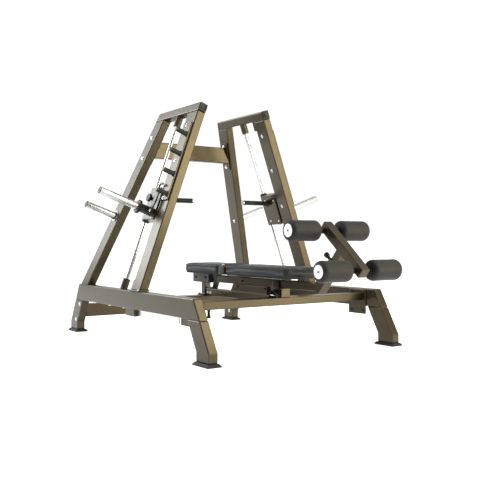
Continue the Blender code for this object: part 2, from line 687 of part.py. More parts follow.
def bench_tube_and_sleeve():
    """The long tube under the pads, bent up at the foot end into the sleeve of the leg hold."""
    middle, _, out, _ = leg_hold_geometry()
    tilt = leg_hold_tilt()
    half = 0.030
    half_high = BENCH_TUBE_HIGH / 2
    drop = (middle.y - BENCH_TUBE_Z) / out.y
    corner_y = middle.x - out.x * drop
    level = block((-half, corner_y, BENCH_TUBE_Z - half_high), (half, BENCH_REAR_Y, BENCH_TUBE_Z + half_high))
    tube = piece("bench_tube", level, PAINT, edge=0.004)
    around = SLEEVE_TUBE / 2
    bore = SLEEVE_BORE / 2
    bottom = -drop - around
    place = {"location": (0, middle.x, middle.y), "rotation": (tilt, 0, 0)}
    outer = piece("leg_sleeve", block((-around, -around, bottom), (around, around, -SLEEVE_TOP)), PAINT,
                  edge=0.004, **place)
    inner = piece("leg_sleeve_bore", block((-bore, -bore, bottom + 0.006), (bore, bore, 0)), PAINT, **place)
    boss = piece("pin_boss", rod(0.012, around - 0.003, around + 0.016, "Y", 20), PAINT, smooth=True,
                 location=pin_place(), rotation=(tilt, 0, 0))
    pin_hole = piece("pin_hole", rod(PIN_RADIUS + GAP, 0, around + 0.03, "Y", 16), PAINT,
                     location=pin_place(), rotation=(tilt, 0, 0))
    weld(tube, outer, boss)
    cut(tube, inner, pin_hole)


def leg_hold_tilt():
    _, _, out, _ = leg_hold_geometry()
    return math.atan2(-out.x, out.y)


def pin_place():
    middle, _, out, _ = leg_hold_geometry()
    centre = middle - out * PIN_DOWN
    return (0, centre.x, centre.y)


def leg_hold():
    bench_tube_and_sleeve()
    tilt = leg_hold_tilt()
    middle, along, _, spread = leg_hold_geometry()
    slide = frame("leg_hold", (0, middle.x, middle.y), (tilt, 0, 0))
    half = ARM_TUBE / 2
    up_sign = axle_sign(tilt, along)
    ends = sorted((up_sign * (spread / 2 + ARM_PAST_UPPER), -up_sign * (spread / 2 + ARM_PAST_LOWER)))
    arm = piece("leg_hold_arm", block((-half, ends[0], -half), (half, ends[1], half)), PAINT, parent=slide,
                edge=0.005)
    inner = INNER_TUBE / 2
    stem = piece("leg_hold_stem", block((-inner, -inner, -INNER_LONG), (inner, inner, 0)), PAINT, parent=slide,
                 edge=0.003)
    axles = []
    reach = ROLLER_OUT - 0.001
    for label, sign in (("upper", 1), ("lower", -1)):
        axles.append(piece(f"{label}_axle", rod(AXLE_RADIUS, -reach, reach, "X", 20), STEEL, parent=slide,
                           location=(0, sign * up_sign * spread / 2, -ARM_FORWARD), smooth=True))
    weld(arm, stem, *axles)
    holes = []
    for k in range(HOLE_COUNT):
        down = PIN_DOWN + (k - 1) * HOLE_PITCH
        hole = rod(PIN_RADIUS + GAP, inner - 0.014, inner + 0.010, "Y", 16)
        holes.append(piece(f"stem_hole_{k + 1}", hole, PAINT, parent=slide, location=(0, 0, -down)))
    cut(arm, *holes)
    rollers()
    pop_pin(tilt)


def axle_sign(tilt, along):
    """+1 when the local y axis of the leg hold points to the upper axle."""
    return 1 if Vector((math.cos(tilt), math.sin(tilt))).dot(along) < 0 else -1


def rollers():
    """Four foam rollers, each a thick sleeve with rounded ends on its axle."""
    long = ROLLER_OUT - ROLLER_IN
    bulge = 0.020
    near_end = [(0, AXLE_RADIUS + GAP), (0, ROLLER_RADIUS - bulge)]
    for k in range(1, 5):
        angle = math.pi / 2 * k / 4
        near_end.append((bulge * (1 - math.cos(angle)), ROLLER_RADIUS - bulge * (1 - math.sin(angle))))
    outline = near_end + [(long - a, r) for a, r in reversed(near_end)]
    for label, (y, z) in (("upper", AXLE_UPPER), ("lower", AXLE_LOWER)):
        for name, side in SIDES:
            def make(shape, side=side):
                closed = [(side * (ROLLER_IN + a), r) for a, r in outline + outline[:1]]
                turned(closed, "X", 28)(shape)
                bmesh.ops.remove_doubles(shape, verts=shape.verts, dist=1e-6)
            piece(f"{label}_{name}_roller", make, FOAM, location=(0, y, z), smooth=True)


def pop_pin(tilt):
    """The spring pin that locks the leg hold, pulled by its knob."""
    around = SLEEVE_TUBE / 2
    face = around + 0.016 + GAP + PIN_TRAVEL
    tip = SLEEVE_BORE / 2 + PIN_CLEAR
    profile = [(tip, 0), (tip, PIN_RADIUS), (face, PIN_RADIUS),
               (face, KNOB_RADIUS * 0.6), (face + 0.012, KNOB_RADIUS * 0.6), (face + 0.018, KNOB_RADIUS),
               (face + 0.036, KNOB_RADIUS), (face + 0.040, KNOB_RADIUS - 0.004), (face + 0.040, 0)]
    piece("pop_pin", turned(profile, "Y", 20), PLASTIC, location=pin_place(), rotation=(tilt, 0, 0),
          smooth=True)


def main():
    clear_scene()
    for name, side in SIDES:
        side_beam(name, side)
        legs_and_feet(name, side)
        carriage(name, side, tower(name, side))
    low_cross_beams()
    left_panel()
    upper_cross_beam()
    bench()
    pads()
    leg_hold()


main()
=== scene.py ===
"""Visual model of a plate-loaded press with a padded bench and a roller leg hold, laid out as an add-on.

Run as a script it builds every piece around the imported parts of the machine, then the stage and the camera.
"""

import math
import random

import bmesh
import bpy
from mathutils import Matrix, Vector, noise


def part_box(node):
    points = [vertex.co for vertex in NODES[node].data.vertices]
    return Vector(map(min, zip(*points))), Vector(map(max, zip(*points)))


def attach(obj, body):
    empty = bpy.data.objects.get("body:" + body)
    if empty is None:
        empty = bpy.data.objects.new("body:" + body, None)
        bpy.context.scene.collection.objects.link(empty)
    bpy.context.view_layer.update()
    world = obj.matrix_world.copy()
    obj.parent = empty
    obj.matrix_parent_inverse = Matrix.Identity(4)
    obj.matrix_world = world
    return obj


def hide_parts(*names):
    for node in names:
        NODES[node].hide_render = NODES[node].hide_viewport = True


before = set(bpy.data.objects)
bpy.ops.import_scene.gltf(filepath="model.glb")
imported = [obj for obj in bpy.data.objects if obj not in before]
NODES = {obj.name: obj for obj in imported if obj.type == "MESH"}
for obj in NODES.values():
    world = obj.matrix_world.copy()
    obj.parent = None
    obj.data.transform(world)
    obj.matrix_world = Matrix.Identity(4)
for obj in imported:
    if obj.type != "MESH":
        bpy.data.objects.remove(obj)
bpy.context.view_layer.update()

bl_info = {
    "name": "Plate-loaded press",
    "version": (1, 0, 0),
    "blender": (4, 5, 0),
    "location": "3D View > Sidebar > Press",
    "description": "Builds the pieces, finishes and stage of a plate-loaded press with a leg hold bench",
    "category": "Object",
}

SIDES = (("left", -1), ("right", 1))
LEAN = math.radians(20)
REAR_LEAN = math.radians(16.2)
FRAME_X = 0.708
BEAM_TOP = 0.367
SHIFT = 0.218848  # the whole machine's middle lies this far from the middle of its feet
UP = Vector((0, 0, 1))
REAR_FOOT_Y = 0.7425
HORN_Y, HORN_UP = 0.046, 0.548
STORAGE_UP = 0.530
PEG_LOW, PEG_PITCH = 0.661, 0.144
PEGS = {"left": (-0.150, 0.087), "right": (-0.085, 0.041)}  # each rail's y and the length of its pegs
PAD_CORNER = 0.030
ADJUSTER_Y = -0.690 + SHIFT
HUB = (-0.0413, -0.700 + SHIFT, 0.3475)
HINGE_X = 0.106


# ---- settings ---------------------------------------------------------------------------------------
class FinishSettings(bpy.types.PropertyGroup):
    """Colours and surface values of the machine's finishes."""

    bronze: bpy.props.FloatVectorProperty(
        name="Bronze paint", description="Metallic paint on the frame", subtype="COLOR",
        default=(0.056, 0.043, 0.024), min=0, max=1)
    dark_paint: bpy.props.FloatVectorProperty(
        name="Dark paint", description="Paint on brackets and mounts", subtype="COLOR",
        default=(0.030, 0.028, 0.022), min=0, max=1)
    vinyl: bpy.props.FloatVectorProperty(
        name="Upholstery", description="Vinyl of the pads", subtype="COLOR",
        default=(0.0125, 0.0125, 0.0145), min=0, max=1)
    foam: bpy.props.FloatVectorProperty(
        name="Foam", description="Skin of the leg rollers", subtype="COLOR",
        default=(0.0060, 0.0048, 0.0058), min=0, max=1)
    rubber: bpy.props.FloatVectorProperty(
        name="Rubber", description="Feet and grips", subtype="COLOR",
        default=(0.012, 0.012, 0.012), min=0, max=1)
    wear: bpy.props.FloatProperty(
        name="Edge wear", description="How much the paint is rubbed thin along its edges", subtype="FACTOR",
        default=0.35, min=0, max=1)


class BuildSettings(bpy.types.PropertyGroup):
    """Sizes that a user of the machine may want to change."""

    pad_crown: bpy.props.FloatProperty(
        name="Pad crown", description="How far a pad may swell from its board", unit="LENGTH",
        default=0.006, min=0, max=0.02)
    piping: bpy.props.FloatProperty(
        name="Piping radius", description="Radius of the sewn edge cord of the pads", unit="LENGTH",
        default=0.0022, min=0.001, max=0.005)
    disc_radius: bpy.props.FloatProperty(
        name="Roller disc radius", description="Radius of the end disc of a leg roller", unit="LENGTH",
        default=0.0385, min=0.02, max=0.05)
    bolt_head: bpy.props.FloatProperty(
        name="Bolt head radius", description="Radius across the corners of a frame bolt's head", unit="LENGTH",
        default=0.0095, min=0.005, max=0.02)


# ---- shader maths -----------------------------------------------------------------------------------
class Value:
    """A number socket that can be written into plain arithmetic."""

    def __init__(self, maker, socket):
        self.maker = maker
        self.socket = socket

    def _math(self, operation, first, second=None):
        values = {0: first} if second is None else {0: first, 1: second}
        made = self.maker.node("ShaderNodeMath", {"operation": operation}, values)
        return Value(self.maker, made.outputs[0])

    def __add__(self, other):
        return self._math("ADD", self, other)

    def __radd__(self, other):
        return self._math("ADD", other, self)

    def __sub__(self, other):
        return self._math("SUBTRACT", self, other)

    def __rsub__(self, other):
        return self._math("SUBTRACT", other, self)

    def __mul__(self, other):
        return self._math("MULTIPLY", self, other)

    def __rmul__(self, other):
        return self._math("MULTIPLY", other, self)

    def clamp(self):
        node = self.maker.node("ShaderNodeClamp", {}, {0: self})
        return Value(self.maker, node.outputs[0])

    def step(self, low, high, start=0.0, end=1.0):
        """The start value below low, the end value above high, smooth between."""
        node = self.maker.node("ShaderNodeMapRange", {"interpolation_type": "SMOOTHSTEP"},
                               {0: self, 1: low, 2: high, 3: start, 4: end})
        return Value(self.maker, node.outputs[0])

    def sine(self):
        return self._math("SINE", self)

    def larger(self, other):
        return self._math("MAXIMUM", self, other)


class Nodes:
    """The node tree of a material or of the world, under construction."""

    def __init__(self, owner):
        owner.use_nodes = True
        self.tree = owner.node_tree

    def node(self, kind, settings=None, values=None):
        made = self.tree.nodes.new(kind)
        for key, value in (settings or {}).items():
            setattr(made, key, value)
        for key, value in (values or {}).items():
            self.feed(made.inputs[key], value)
        return made

    def feed(self, socket, value):
        if isinstance(value, Value):
            value = value.socket
        if isinstance(value, bpy.types.NodeSocket):
            self.tree.links.new(value, socket)
        elif isinstance(value, (tuple, list)) and len(socket.default_value) == 4:
            socket.default_value = (*value[:3], 1.0)
        else:
            socket.default_value = value

    def dot(self, first, second):
        made = self.node("ShaderNodeVectorMath", {"operation": "DOT_PRODUCT"}, {0: first, 1: second})
        return Value(self, made.outputs["Value"])


class Finish(Nodes):
    """A material under construction. The constants are sockets of its shader, by name."""

    def __init__(self, name, roughness=0.5, metallic=0.0, **constants):
        self.material = bpy.data.materials.new(name)
        super().__init__(self.material)
        self.shader = self.tree.nodes["Principled BSDF"]
        self.shader.inputs["Roughness"].default_value = roughness
        self.shader.inputs["Metallic"].default_value = metallic
        for key, value in constants.items():
            self.shader.inputs[key.replace("_", " ").title().replace("Ior", "IOR")].default_value = value

    def place(self, stretch=(1, 1, 1)):
        """Coordinates in the piece's own space, in metres."""
        coordinates = self.node("ShaderNodeTexCoord").outputs["Object"]
        return self.node("ShaderNodeMapping", {}, {"Vector": coordinates, "Scale": stretch}).outputs[0]

    def noise(self, scale, detail=3.0, rough=0.5, stretch=(1, 1, 1)):
        made = self.node("ShaderNodeTexNoise", {}, {"Vector": self.place(stretch), "Scale": scale,
                                                    "Detail": detail, "Roughness": rough})
        return Value(self, made.outputs["Fac"])

    def cells(self, scale, feature="F1", stretch=(1, 1, 1)):
        made = self.node("ShaderNodeTexVoronoi", {"feature": feature},
                         {"Vector": self.place(stretch), "Scale": scale})
        return Value(self, made.outputs["Distance"])

    def along(self, axis):
        split = self.node("ShaderNodeSeparateXYZ", {}, {0: self.place()})
        return Value(self, split.outputs[axis])

    def blend(self, share, first, second):
        made = self.node("ShaderNodeMix", {"data_type": "RGBA"}, {"Factor": share, 6: first, 7: second})
        return made.outputs[2]

    def edges(self, radius):
        """1 along outer and inner edges, 0 on flat ground."""
        soft = self.node("ShaderNodeBevel", {"samples": 4}, {"Radius": radius}).outputs[0]
        true = self.node("ShaderNodeNewGeometry").outputs["Normal"]
        return (1.0 - self.dot(soft, true)).step(0.02, 0.20)

    def colour(self, value):
        self.feed(self.shader.inputs["Base Color"], value)

    def roughness(self, value):
        self.feed(self.shader.inputs["Roughness"], value.clamp())

    def bump(self, height, distance, strength=1.0):
        made = self.node("ShaderNodeBump", {}, {"Height": height, "Distance": distance, "Strength": strength})
        self.feed(self.shader.inputs["Normal"], made.outputs[0])


def shade(colour, factor):
    return tuple(min(1.0, c * factor) for c in colour)


def build_settings():
    return bpy.context.scene.press_build


def metallic_paint(name, colour, metallic, rough, wear):
    """Satin metallic paint with a fine flake, faint clouding, orange peel and thin, rubbed edges."""
    f = Finish(name, roughness=rough, metallic=metallic, coat_weight=0.10, coat_roughness=0.25)
    cloud = f.noise(5.0, 4.0)
    flake = f.cells(900.0)
    scuff = f.noise(60.0, 6.0, 0.7, (1, 1, 0.25))
    base = f.blend(cloud.step(0.35, 0.70), shade(colour, 0.90), shade(colour, 1.08))
    base = f.blend(flake.step(0.30, 0.75) * 0.10, base, shade(colour, 1.7))
    rubbed = f.edges(0.004) * scuff.step(0.42, 0.62) * wear
    f.colour(f.blend(rubbed, base, shade(colour, 2.1)))
    f.roughness(rough + (cloud - 0.5) * 0.10 + (scuff - 0.5) * 0.14)
    f.bump(f.noise(420.0, 2.0) * 0.5 + scuff * 0.5, 0.00012, 0.6)
    return f.material


def polished_chrome(name, tone=0.55):
    """Hard chrome over a turned bar: very fine rings, faint smears and a slightly cloudy tone."""
    f = Finish(name, roughness=0.10, metallic=1.0)
    smear = f.noise(18.0, 4.0, 0.6)
    fine = f.noise(240.0, 2.0)
    f.colour(f.blend(smear.step(0.35, 0.75), (tone * 0.90,) * 3, (tone, tone, tone * 1.01)))
    f.roughness(0.15 + smear * 0.10 + fine * 0.04)
    f.bump(fine, 0.00001, 0.15)
    return f.material


def brushed_metal(name, tone=0.62, rough=0.30):
    f = Finish(name, roughness=rough, metallic=1.0)
    grain = f.noise(260.0, 4.0, 0.7, (1, 0.03, 1))
    stain = f.noise(12.0, 3.0)
    f.colour(f.blend(grain.step(0.3, 0.7), (tone * 0.88,) * 3, (tone, tone, tone * 0.99)))
    f.roughness(rough + (grain - 0.5) * 0.18 + (stain - 0.5) * 0.12)
    f.bump(grain, 0.00005, 0.5)
    return f.material


def zinc_plate(name):
    """Bright zinc on fasteners, with the pale bloom that zinc gets."""
    f = Finish(name, roughness=0.28, metallic=1.0)
    bloom = f.noise(160.0, 4.0, 0.65)
    f.colour(f.blend(bloom.step(0.4, 0.7), (0.66, 0.67, 0.68), (0.82, 0.82, 0.80)))
    f.roughness(0.20 + bloom * 0.22)
    f.bump(f.noise(1500.0, 2.0), 0.00003, 0.5)
    return f.material


def grained_vinyl(name, colour):
    """Upholstery vinyl: small rounded cells with creases between them, painted shade in the creases, and
    slightly shinier on the crests.
    """
    f = Finish(name, roughness=0.46, coat_weight=0.06, coat_roughness=0.35, specular_ior_level=0.30)
    cell = f.cells(620.0)
    crease = f.cells(620.0, "DISTANCE_TO_EDGE").step(0.0, 0.18)
    soft = f.noise(7.0, 3.0)
    worn = f.noise(30.0, 5.0, 0.6)
    base = f.blend(soft.step(0.35, 0.7), shade(colour, 0.88), shade(colour, 1.18))
    # painted shade: the creases between the cells are darkened towards half the vinyl's colour
    base = f.blend((1.0 - crease) * 0.45, base, shade(colour, 0.5))
    f.colour(base)
    f.roughness(0.50 - crease * 0.08 + (worn - 0.5) * 0.16)
    f.bump(crease * 0.7 + cell * 0.3 + worn * 0.35, 0.00022, 0.75)
    return f.material


def foam_skin(name, colour):
    """Closed-cell foam with a smooth skin: pin pricks with painted shade in them, faint mould rings and dusty
    patches.
    """
    f = Finish(name, roughness=0.56, specular_ior_level=0.30, sheen_weight=0.05, sheen_roughness=0.45)
    prick = f.cells(480.0).step(0.10, 0.42)
    dust = f.noise(9.0, 4.0, 0.6)
    ring = (f.along(0) * 900.0).sine() * 0.5 + 0.5
    base = f.blend(dust.step(0.4, 0.75), shade(colour, 0.9), shade(colour, 1.35))
    # painted shade: the pin pricks are darkened towards 0.45 of the foam's colour
    f.colour(f.blend((1.0 - prick) * 0.5, base, shade(colour, 0.45)))
    f.roughness(0.50 + dust * 0.16)
    f.bump(prick * 0.8 + ring * 0.12 + f.noise(120.0, 3.0) * 0.3, 0.00025, 0.7)
    return f.material


def moulded(name, colour, rough=0.48, grain=260.0):
    """Injection-moulded plastic or rubber with a spark-eroded grain and handling marks."""
    f = Finish(name, roughness=rough, specular_ior_level=0.25)
    speck = f.noise(grain, 3.0, 0.6)
    mark = f.noise(24.0, 5.0, 0.6)
    base = f.blend(mark.step(0.42, 0.72), colour, shade(colour, 1.9))
    f.colour(f.blend(f.edges(0.002) * 0.25, base, shade(colour, 3.0)))
    f.roughness(rough + (mark - 0.5) * 0.18 + (speck - 0.5) * 0.08)
    f.bump(speck, 0.00012, 0.6)
    return f.material


def floor_finish():
    """Plain, pale and matt, with a faint glow that keeps it as pale under the machine's shade."""
    f = Finish("studio_floor", roughness=0.75, emission_color=(1.0, 1.0, 1.0, 1.0), emission_strength=0.48)
    f.colour(f.blend(f.noise(1.2, 2.0), (0.955, 0.955, 0.958), (0.965, 0.965, 0.966)))
    return f.material


MADE = {}


def material(kind):
    """One shared material for each finish, made when first asked for."""
    if kind in MADE:
        return MADE[kind]
    s = bpy.context.scene.press_finish
    makers = {
        "bronze": lambda: metallic_paint("bronze_paint", tuple(s.bronze), 0.80, 0.34, s.wear),
        "dark": lambda: metallic_paint("dark_paint", tuple(s.dark_paint), 0.35, 0.42, s.wear * 0.6),
        "chrome": lambda: polished_chrome("hard_chrome"),
        "steel": lambda: brushed_metal("brushed_steel"),
        "aluminium": lambda: brushed_metal("turned_aluminium", 0.86, 0.34),
        "zinc": lambda: zinc_plate("zinc_plate"),
        "vinyl": lambda: grained_vinyl("pad_vinyl", tuple(s.vinyl)),
        "piping": lambda: grained_vinyl("piping_vinyl", shade(tuple(s.vinyl), 0.8)),
        "foam": lambda: foam_skin("roller_foam", tuple(s.foam)),
        "rubber": lambda: moulded("foot_rubber", tuple(s.rubber), 0.62, 180.0),
        "grip": lambda: moulded("grip_rubber", shade(tuple(s.rubber), 0.8), 0.55, 340.0),
        "plastic": lambda: moulded("cap_plastic", (0.005, 0.005, 0.0055), 0.42, 420.0),
        "board": lambda: moulded("pad_board", (0.020, 0.019, 0.018), 0.66, 120.0),
    }
    MADE[kind] = makers[kind]()
    return MADE[kind]


# ---- pieces -----------------------------------------------------------------------------------------
def add_piece(name, mesh, kind, body, place=None, smooth=40.0):
    """A finished object on its body. The mesh is in the place's own space."""
    obj = bpy.data.objects.new(name, mesh)
    bpy.context.scene.collection.objects.link(obj)
    if place is not None:
        obj.matrix_world = place
    if smooth:
        mesh.shade_smooth()
        mesh.set_sharp_from_angle(angle=math.radians(smooth))
    mesh.materials.clear()
    mesh.materials.append(material(kind))
    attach(obj, body)
    return obj


def mesh_from(name, fill):
    shape = bmesh.new()
    fill(shape)
    bmesh.ops.recalc_face_normals(shape, faces=shape.faces)
    mesh = bpy.data.meshes.new(name)
    shape.to_mesh(mesh)
    shape.free()
    return mesh


def soften(obj, width, segments=2, angle=35.0):
    """Rounds the edges for good, so that every export holds them."""
    bevel = obj.modifiers.new("soft_edges", "BEVEL")
    bevel.width = width
    bevel.segments = segments
    bevel.limit_method = "ANGLE"
    bevel.angle_limit = math.radians(angle)
    bevel.harden_normals = False
    return bake(obj)


def bake(obj):
    """Applies every modifier to the mesh."""
    graph = bpy.context.evaluated_depsgraph_get()
    mesh = bpy.data.meshes.new_from_object(obj.evaluated_get(graph))
    obj.modifiers.clear()
    old = obj.data
    obj.data = mesh
    bpy.data.meshes.remove(old)
    mesh.shade_smooth()
    mesh.set_sharp_from_angle(angle=math.radians(40))
    return obj


def turn(shape, profile, steps=32, place=Matrix.Identity(4)):
    """Turns (along, radius) pairs about the place's z axis into a closed or open skin."""
    rings = []
    for along, radius in profile:
        if radius < 1e-7:
            rings.append([shape.verts.new(place @ Vector((0, 0, along)))])
            continue
        rings.append([shape.verts.new(place @ Vector((radius * math.cos(a), radius * math.sin(a), along)))
                      for a in (math.tau * k / steps for k in range(steps))])
    for near, far in zip(rings, rings[1:]):
        for k in range(steps):
            m = (k + 1) % steps
            corners = dict.fromkeys((near[k % len(near)], near[m % len(near)], far[m % len(far)],
                                     far[k % len(far)]))
            if len(corners) > 2:
                shape.faces.new(list(corners))


def rounded(profile, radius, steps=3):
    """Rounds the inner corners of an (along, radius) profile."""
    out = [Vector(profile[0])]
    for before, here, after in zip(profile, profile[1:], profile[2:]):
        a, b, c = Vector(before), Vector(here), Vector(after)
        first, second = a - b, c - b
        reach = min(radius, first.length * 0.45, second.length * 0.45)
        start, end = b + first.normalized() * reach, b + second.normalized() * reach
        for k in range(steps + 1):
            t = k / steps
            out.append((1 - t) ** 2 * start + 2 * (1 - t) * t * b + t * t * end)
    out.append(Vector(profile[-1]))
    return [tuple(p) for p in out]


def aim(point, direction):
    """A place at point whose z axis is direction."""
    turned = Vector(direction).normalized().to_track_quat("Z", "Y").to_matrix().to_4x4()
    return Matrix.Translation(Vector(point)) @ turned


def tower_place(side, x=0.0, y=0.0, up=0.0):
    """A place in one tower's leaning frame: x outwards, y as the machine's, up along the tower."""
    lean = Matrix.Translation((side * FRAME_X, SHIFT, BEAM_TOP)) @ Matrix.Rotation(-side * LEAN, 4, "Y")
    return lean @ Matrix.Translation((side * x, y, up))


def outward(side):
    return Vector((side * math.cos(LEAN), 0, math.sin(LEAN)))


def rear_middle(up):
    """Where the rear column's middle lies along y, at a height in the tower's frame."""
    return REAR_FOOT_Y - math.tan(REAR_LEAN) * up


def bolt_into(shape, place, radius, dome=False):
    """A washer and either a hexagon head or a domed socket head, standing on the place's plane."""
    washer = [(0, 0), (0, radius * 1.42), (0.0011, radius * 1.42), (0.0016, radius * 1.34), (0.0016, 0)]
    turn(shape, washer, 28, place)
    lift = place @ Matrix.Translation((0, 0, 0.0015))
    if dome:
        head = [(0, 0), (0, 1), (0.22, 0.98), (0.52, 0.72), (0.64, 0.46), (0.64, 0.40), (0.30, 0.38), (0.30, 0)]
        turn(shape, [(radius * along, radius * out) for along, out in head], 28, lift)
        return
    high = radius * 0.72
    hexagon = [(0, 0), (0, radius * 0.98), (high * 0.80, radius), (high, radius * 0.86), (high, 0)]
    turn(shape, hexagon, 6, lift)
    crown = [(0, 0), (0, radius * 0.86), (high + 0.0006, radius * 0.84), (high + 0.0010, radius * 0.60),
             (high + 0.0010, 0)]
    turn(shape, crown, 28, lift)


def bolts(name, places, body, radius=None, dome=False, kind="zinc"):
    radius = radius or build_settings().bolt_head

    def fill(shape):
        for place in places:
            bolt_into(shape, place, radius, dome)
    return add_piece(name, mesh_from(name, fill), kind, body, smooth=35)


def paint_node(node, kind):
    obj = NODES[node]
    obj.data.materials.clear()
    obj.data.materials.append(material(kind))


def round_outline(wide, deep, corner, steps):
    """Points round a rectangle with rounded corners, about its middle."""
    return [(sx * (wide / 2 - corner) + corner * math.cos(a), sy * (deep / 2 - corner) + corner * math.sin(a))
            for quarter, (sx, sy) in enumerate(((1, 1), (-1, 1), (-1, -1), (1, -1)))
            for a in (math.pi / 2 * (quarter + k / steps) for k in range(steps + 1))]


def skin(shape, near, far):
    """Joins two loops of points that have the same count."""
    for k in range(len(near)):
        m = (k + 1) % len(near)
        shape.faces.new((near[k], near[m], far[m], far[k]))


def slab(shape, outline, x0, x1, y):
    """A flat plate between two x planes, drawn as (y, z) points."""
    near = [shape.verts.new((x0, y + a, z)) for a, z in outline]
    far = [shape.verts.new((x1, y + a, z)) for a, z in outline]
    shape.faces.new(near)
    shape.faces.new(list(reversed(far)))
    skin(shape, near, far)


def weld_bead(shape, path, radius, seed, closed=True):
    """A rippled bead of weld along a line of points."""
    rng = random.Random(seed)
    points = []
    pairs = list(zip(path, path[1:] + path[:1])) if closed else list(zip(path, path[1:]))
    for a, b in pairs:
        a, b = Vector(a), Vector(b)
        count = max(2, int((b - a).length / 0.0045))
        points += [a.lerp(b, k / count) for k in range(count)]
    if not closed:
        points.append(Vector(path[-1]))
    rings = []
    total = len(points)
    for k, point in enumerate(points):
        ahead = points[(k + 1) % total] if closed or k + 1 < total else point
        behind = points[k - 1] if closed or k else point
        direction = (ahead - behind).normalized()
        side = direction.cross(Vector((0.31, 0.22, 0.92))).normalized()
        upward = direction.cross(side)
        girth = radius * (1.0 + 0.22 * math.cos(math.pi * k) + rng.uniform(-0.06, 0.06))
        rings.append([shape.verts.new(point + girth * (math.cos(a) * side + math.sin(a) * upward))
                      for a in (math.tau * j / 7 for j in range(7))])
    spans = list(zip(rings, rings[1:]))
    if closed:
        spans.append((rings[-1], rings[0]))
    else:
        shape.faces.new(rings[0])
        shape.faces.new(list(reversed(rings[-1])))
    for near, far in spans:
        skin(shape, near, far)


def turned(name, profile, place, steps, kind, body, slot, ease=None):
    """A piece turned about the place's z axis. Ease is the radius and steps that round its inner corners."""
    line = rounded(profile, *ease) if ease else profile
    mesh = mesh_from(name, lambda shape: turn(shape, line, steps, place))
    return add_piece(name, mesh, kind, body)


# ---- operators --------------------------------------------------------------------------------------
class PieceOperator:
    """Shared manners of the operators below."""

    bl_options = {"REGISTER", "UNDO"}

    def execute(self, _context):
        self.make()
        return {"FINISHED"}


PAINTED = {
    "bronze": ("_side_beam", "_front_leg", "_rear_leg", "_cross_beam", "_column", "_top_beam", "_base_plate",
               "_lower_socket", "_peg_rail", "bench_spine", "bench_side_box", "bench_front_saddle",
               "bench_tube", "bench_rear_post", "leg_hold_arm", "_carriage_block", "panel_bracket"),
    "dark": ("_horn_mount", "_safety_hook", "head_pad_saddle", "head_pad_brace"),
    "chrome": ("_guide_rod", "_weight_horn", "_storage_horn", "_handle_bar"),
    "steel": ("side_panel",),
    "rubber": ("_foot",),
    "grip": ("_grip",),
    "plastic": ("pop_pin",),
    "foam": ("_roller",),
    "vinyl": ("main_pad", "head_pad"),
}


class PRESS_OT_finishes(PieceOperator, bpy.types.Operator):
    """Gives every part of the frame its own finish"""

    bl_idname = "press.finishes"
    bl_label = "Finishes"

    def make(self):
        for node in NODES:
            for kind, endings in PAINTED.items():
                if node.endswith(endings):
                    paint_node(node, kind)
                    break
            else:
                raise RuntimeError(f"{node} has no finish")
            NODES[node].data.shade_smooth()
            NODES[node].data.set_sharp_from_angle(angle=math.radians(35))


def cushion(name, node, crown):
    """A pad that swells off its board, with rounded corners and sides that pull in between them."""
    low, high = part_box(node)
    inset = 0.006
    low, high = low + Vector((inset, inset, 0.012)), high - Vector((inset, inset, 0.004))
    size = high - low
    middle = (low + high) / 2

    def fill(shape):
        outline = round_outline(size.x, size.y, PAD_CORNER, 6)
        under, top = ([shape.verts.new((x, y, z)) for x, y in outline] for z in (-size.z / 2, size.z / 2))
        shape.faces.new(list(reversed(under)))
        shape.faces.new(top)
        skin(shape, under, top)
    obj = bpy.data.objects.new(name, mesh_from(name, fill))
    obj.location = middle
    bpy.context.scene.collection.objects.link(obj)
    remesh = obj.modifiers.new("even_skin", "REMESH")
    remesh.mode = "VOXEL"
    remesh.voxel_size = 0.0055
    bake(obj)
    swell(obj, crown)
    smooth_skin = obj.modifiers.new("settle", "SMOOTH")
    smooth_skin.iterations = 3
    smooth_skin.factor = 0.5
    divide = obj.modifiers.new("fine_skin", "SUBSURF")
    divide.levels = divide.render_levels = 1
    bake(obj)
    return obj, low, high


def swell(obj, cap):
    """Blows the pad up as tight cloth held flat at its board, then keeps each point within the cap."""
    rest = [v.co.copy() for v in obj.data.vertices]
    held = obj.vertex_groups.new(name="board")
    bottom = min(p.z for p in rest)
    held.add([i for i, p in enumerate(rest) if p.z < bottom + 0.012], 1.0, "REPLACE")
    cloth = obj.modifiers.new("stuffing", "CLOTH")
    cloth.settings.quality = 5
    cloth.settings.mass = 0.4
    cloth.settings.tension_stiffness = 60
    cloth.settings.compression_stiffness = 60
    cloth.settings.shear_stiffness = 30
    cloth.settings.bending_stiffness = 6
    cloth.settings.use_pressure = True
    cloth.settings.uniform_pressure_force = 4.0
    cloth.settings.vertex_group_mass = held.name
    cloth.settings.effector_weights.gravity = 0
    cloth.collision_settings.use_collision = False
    cloth.point_cache.frame_start = 1
    cloth.point_cache.frame_end = 20
    scene = bpy.context.scene
    for step in range(1, 21):
        scene.frame_set(step)
    bake(obj)
    for vertex, start in zip(obj.data.vertices, rest):
        move = vertex.co - start
        if move.length > cap:
            vertex.co = start + move.normalized() * cap
    obj.vertex_groups.clear()
    scene.frame_set(1)


def seam_cord(name, low, high, z, radius):
    """A sewn cord that runs round the pad at one height."""
    def fill(shape):
        size = high - low
        middle = (low + high) / 2
        outline = round_outline(size.x, size.y, PAD_CORNER, 8)
        path = [Vector((middle.x + x, middle.y + y, z)) for x, y in outline]
        fine = []
        for a, b in zip(path, path[1:] + path[:1]):
            count = max(1, int((b - a).length / 0.006))
            fine += [a.lerp(b, k / count) for k in range(count)]
        total = len(fine)
        rings = []
        for k, point in enumerate(fine):
            along = (fine[(k + 1) % total] - fine[k - 1]).normalized()
            out = along.cross(UP)
            sway = Vector((0, 0, noise.noise(point * 9.0) * 0.0012))
            rings.append([shape.verts.new(point + sway + radius * (math.cos(t) * out + math.sin(t) * UP))
                          for t in (math.tau * j / 8 for j in range(8))])
        for near, far in zip(rings, rings[1:] + rings[:1]):
            skin(shape, near, far)
    return mesh_from(name, fill)


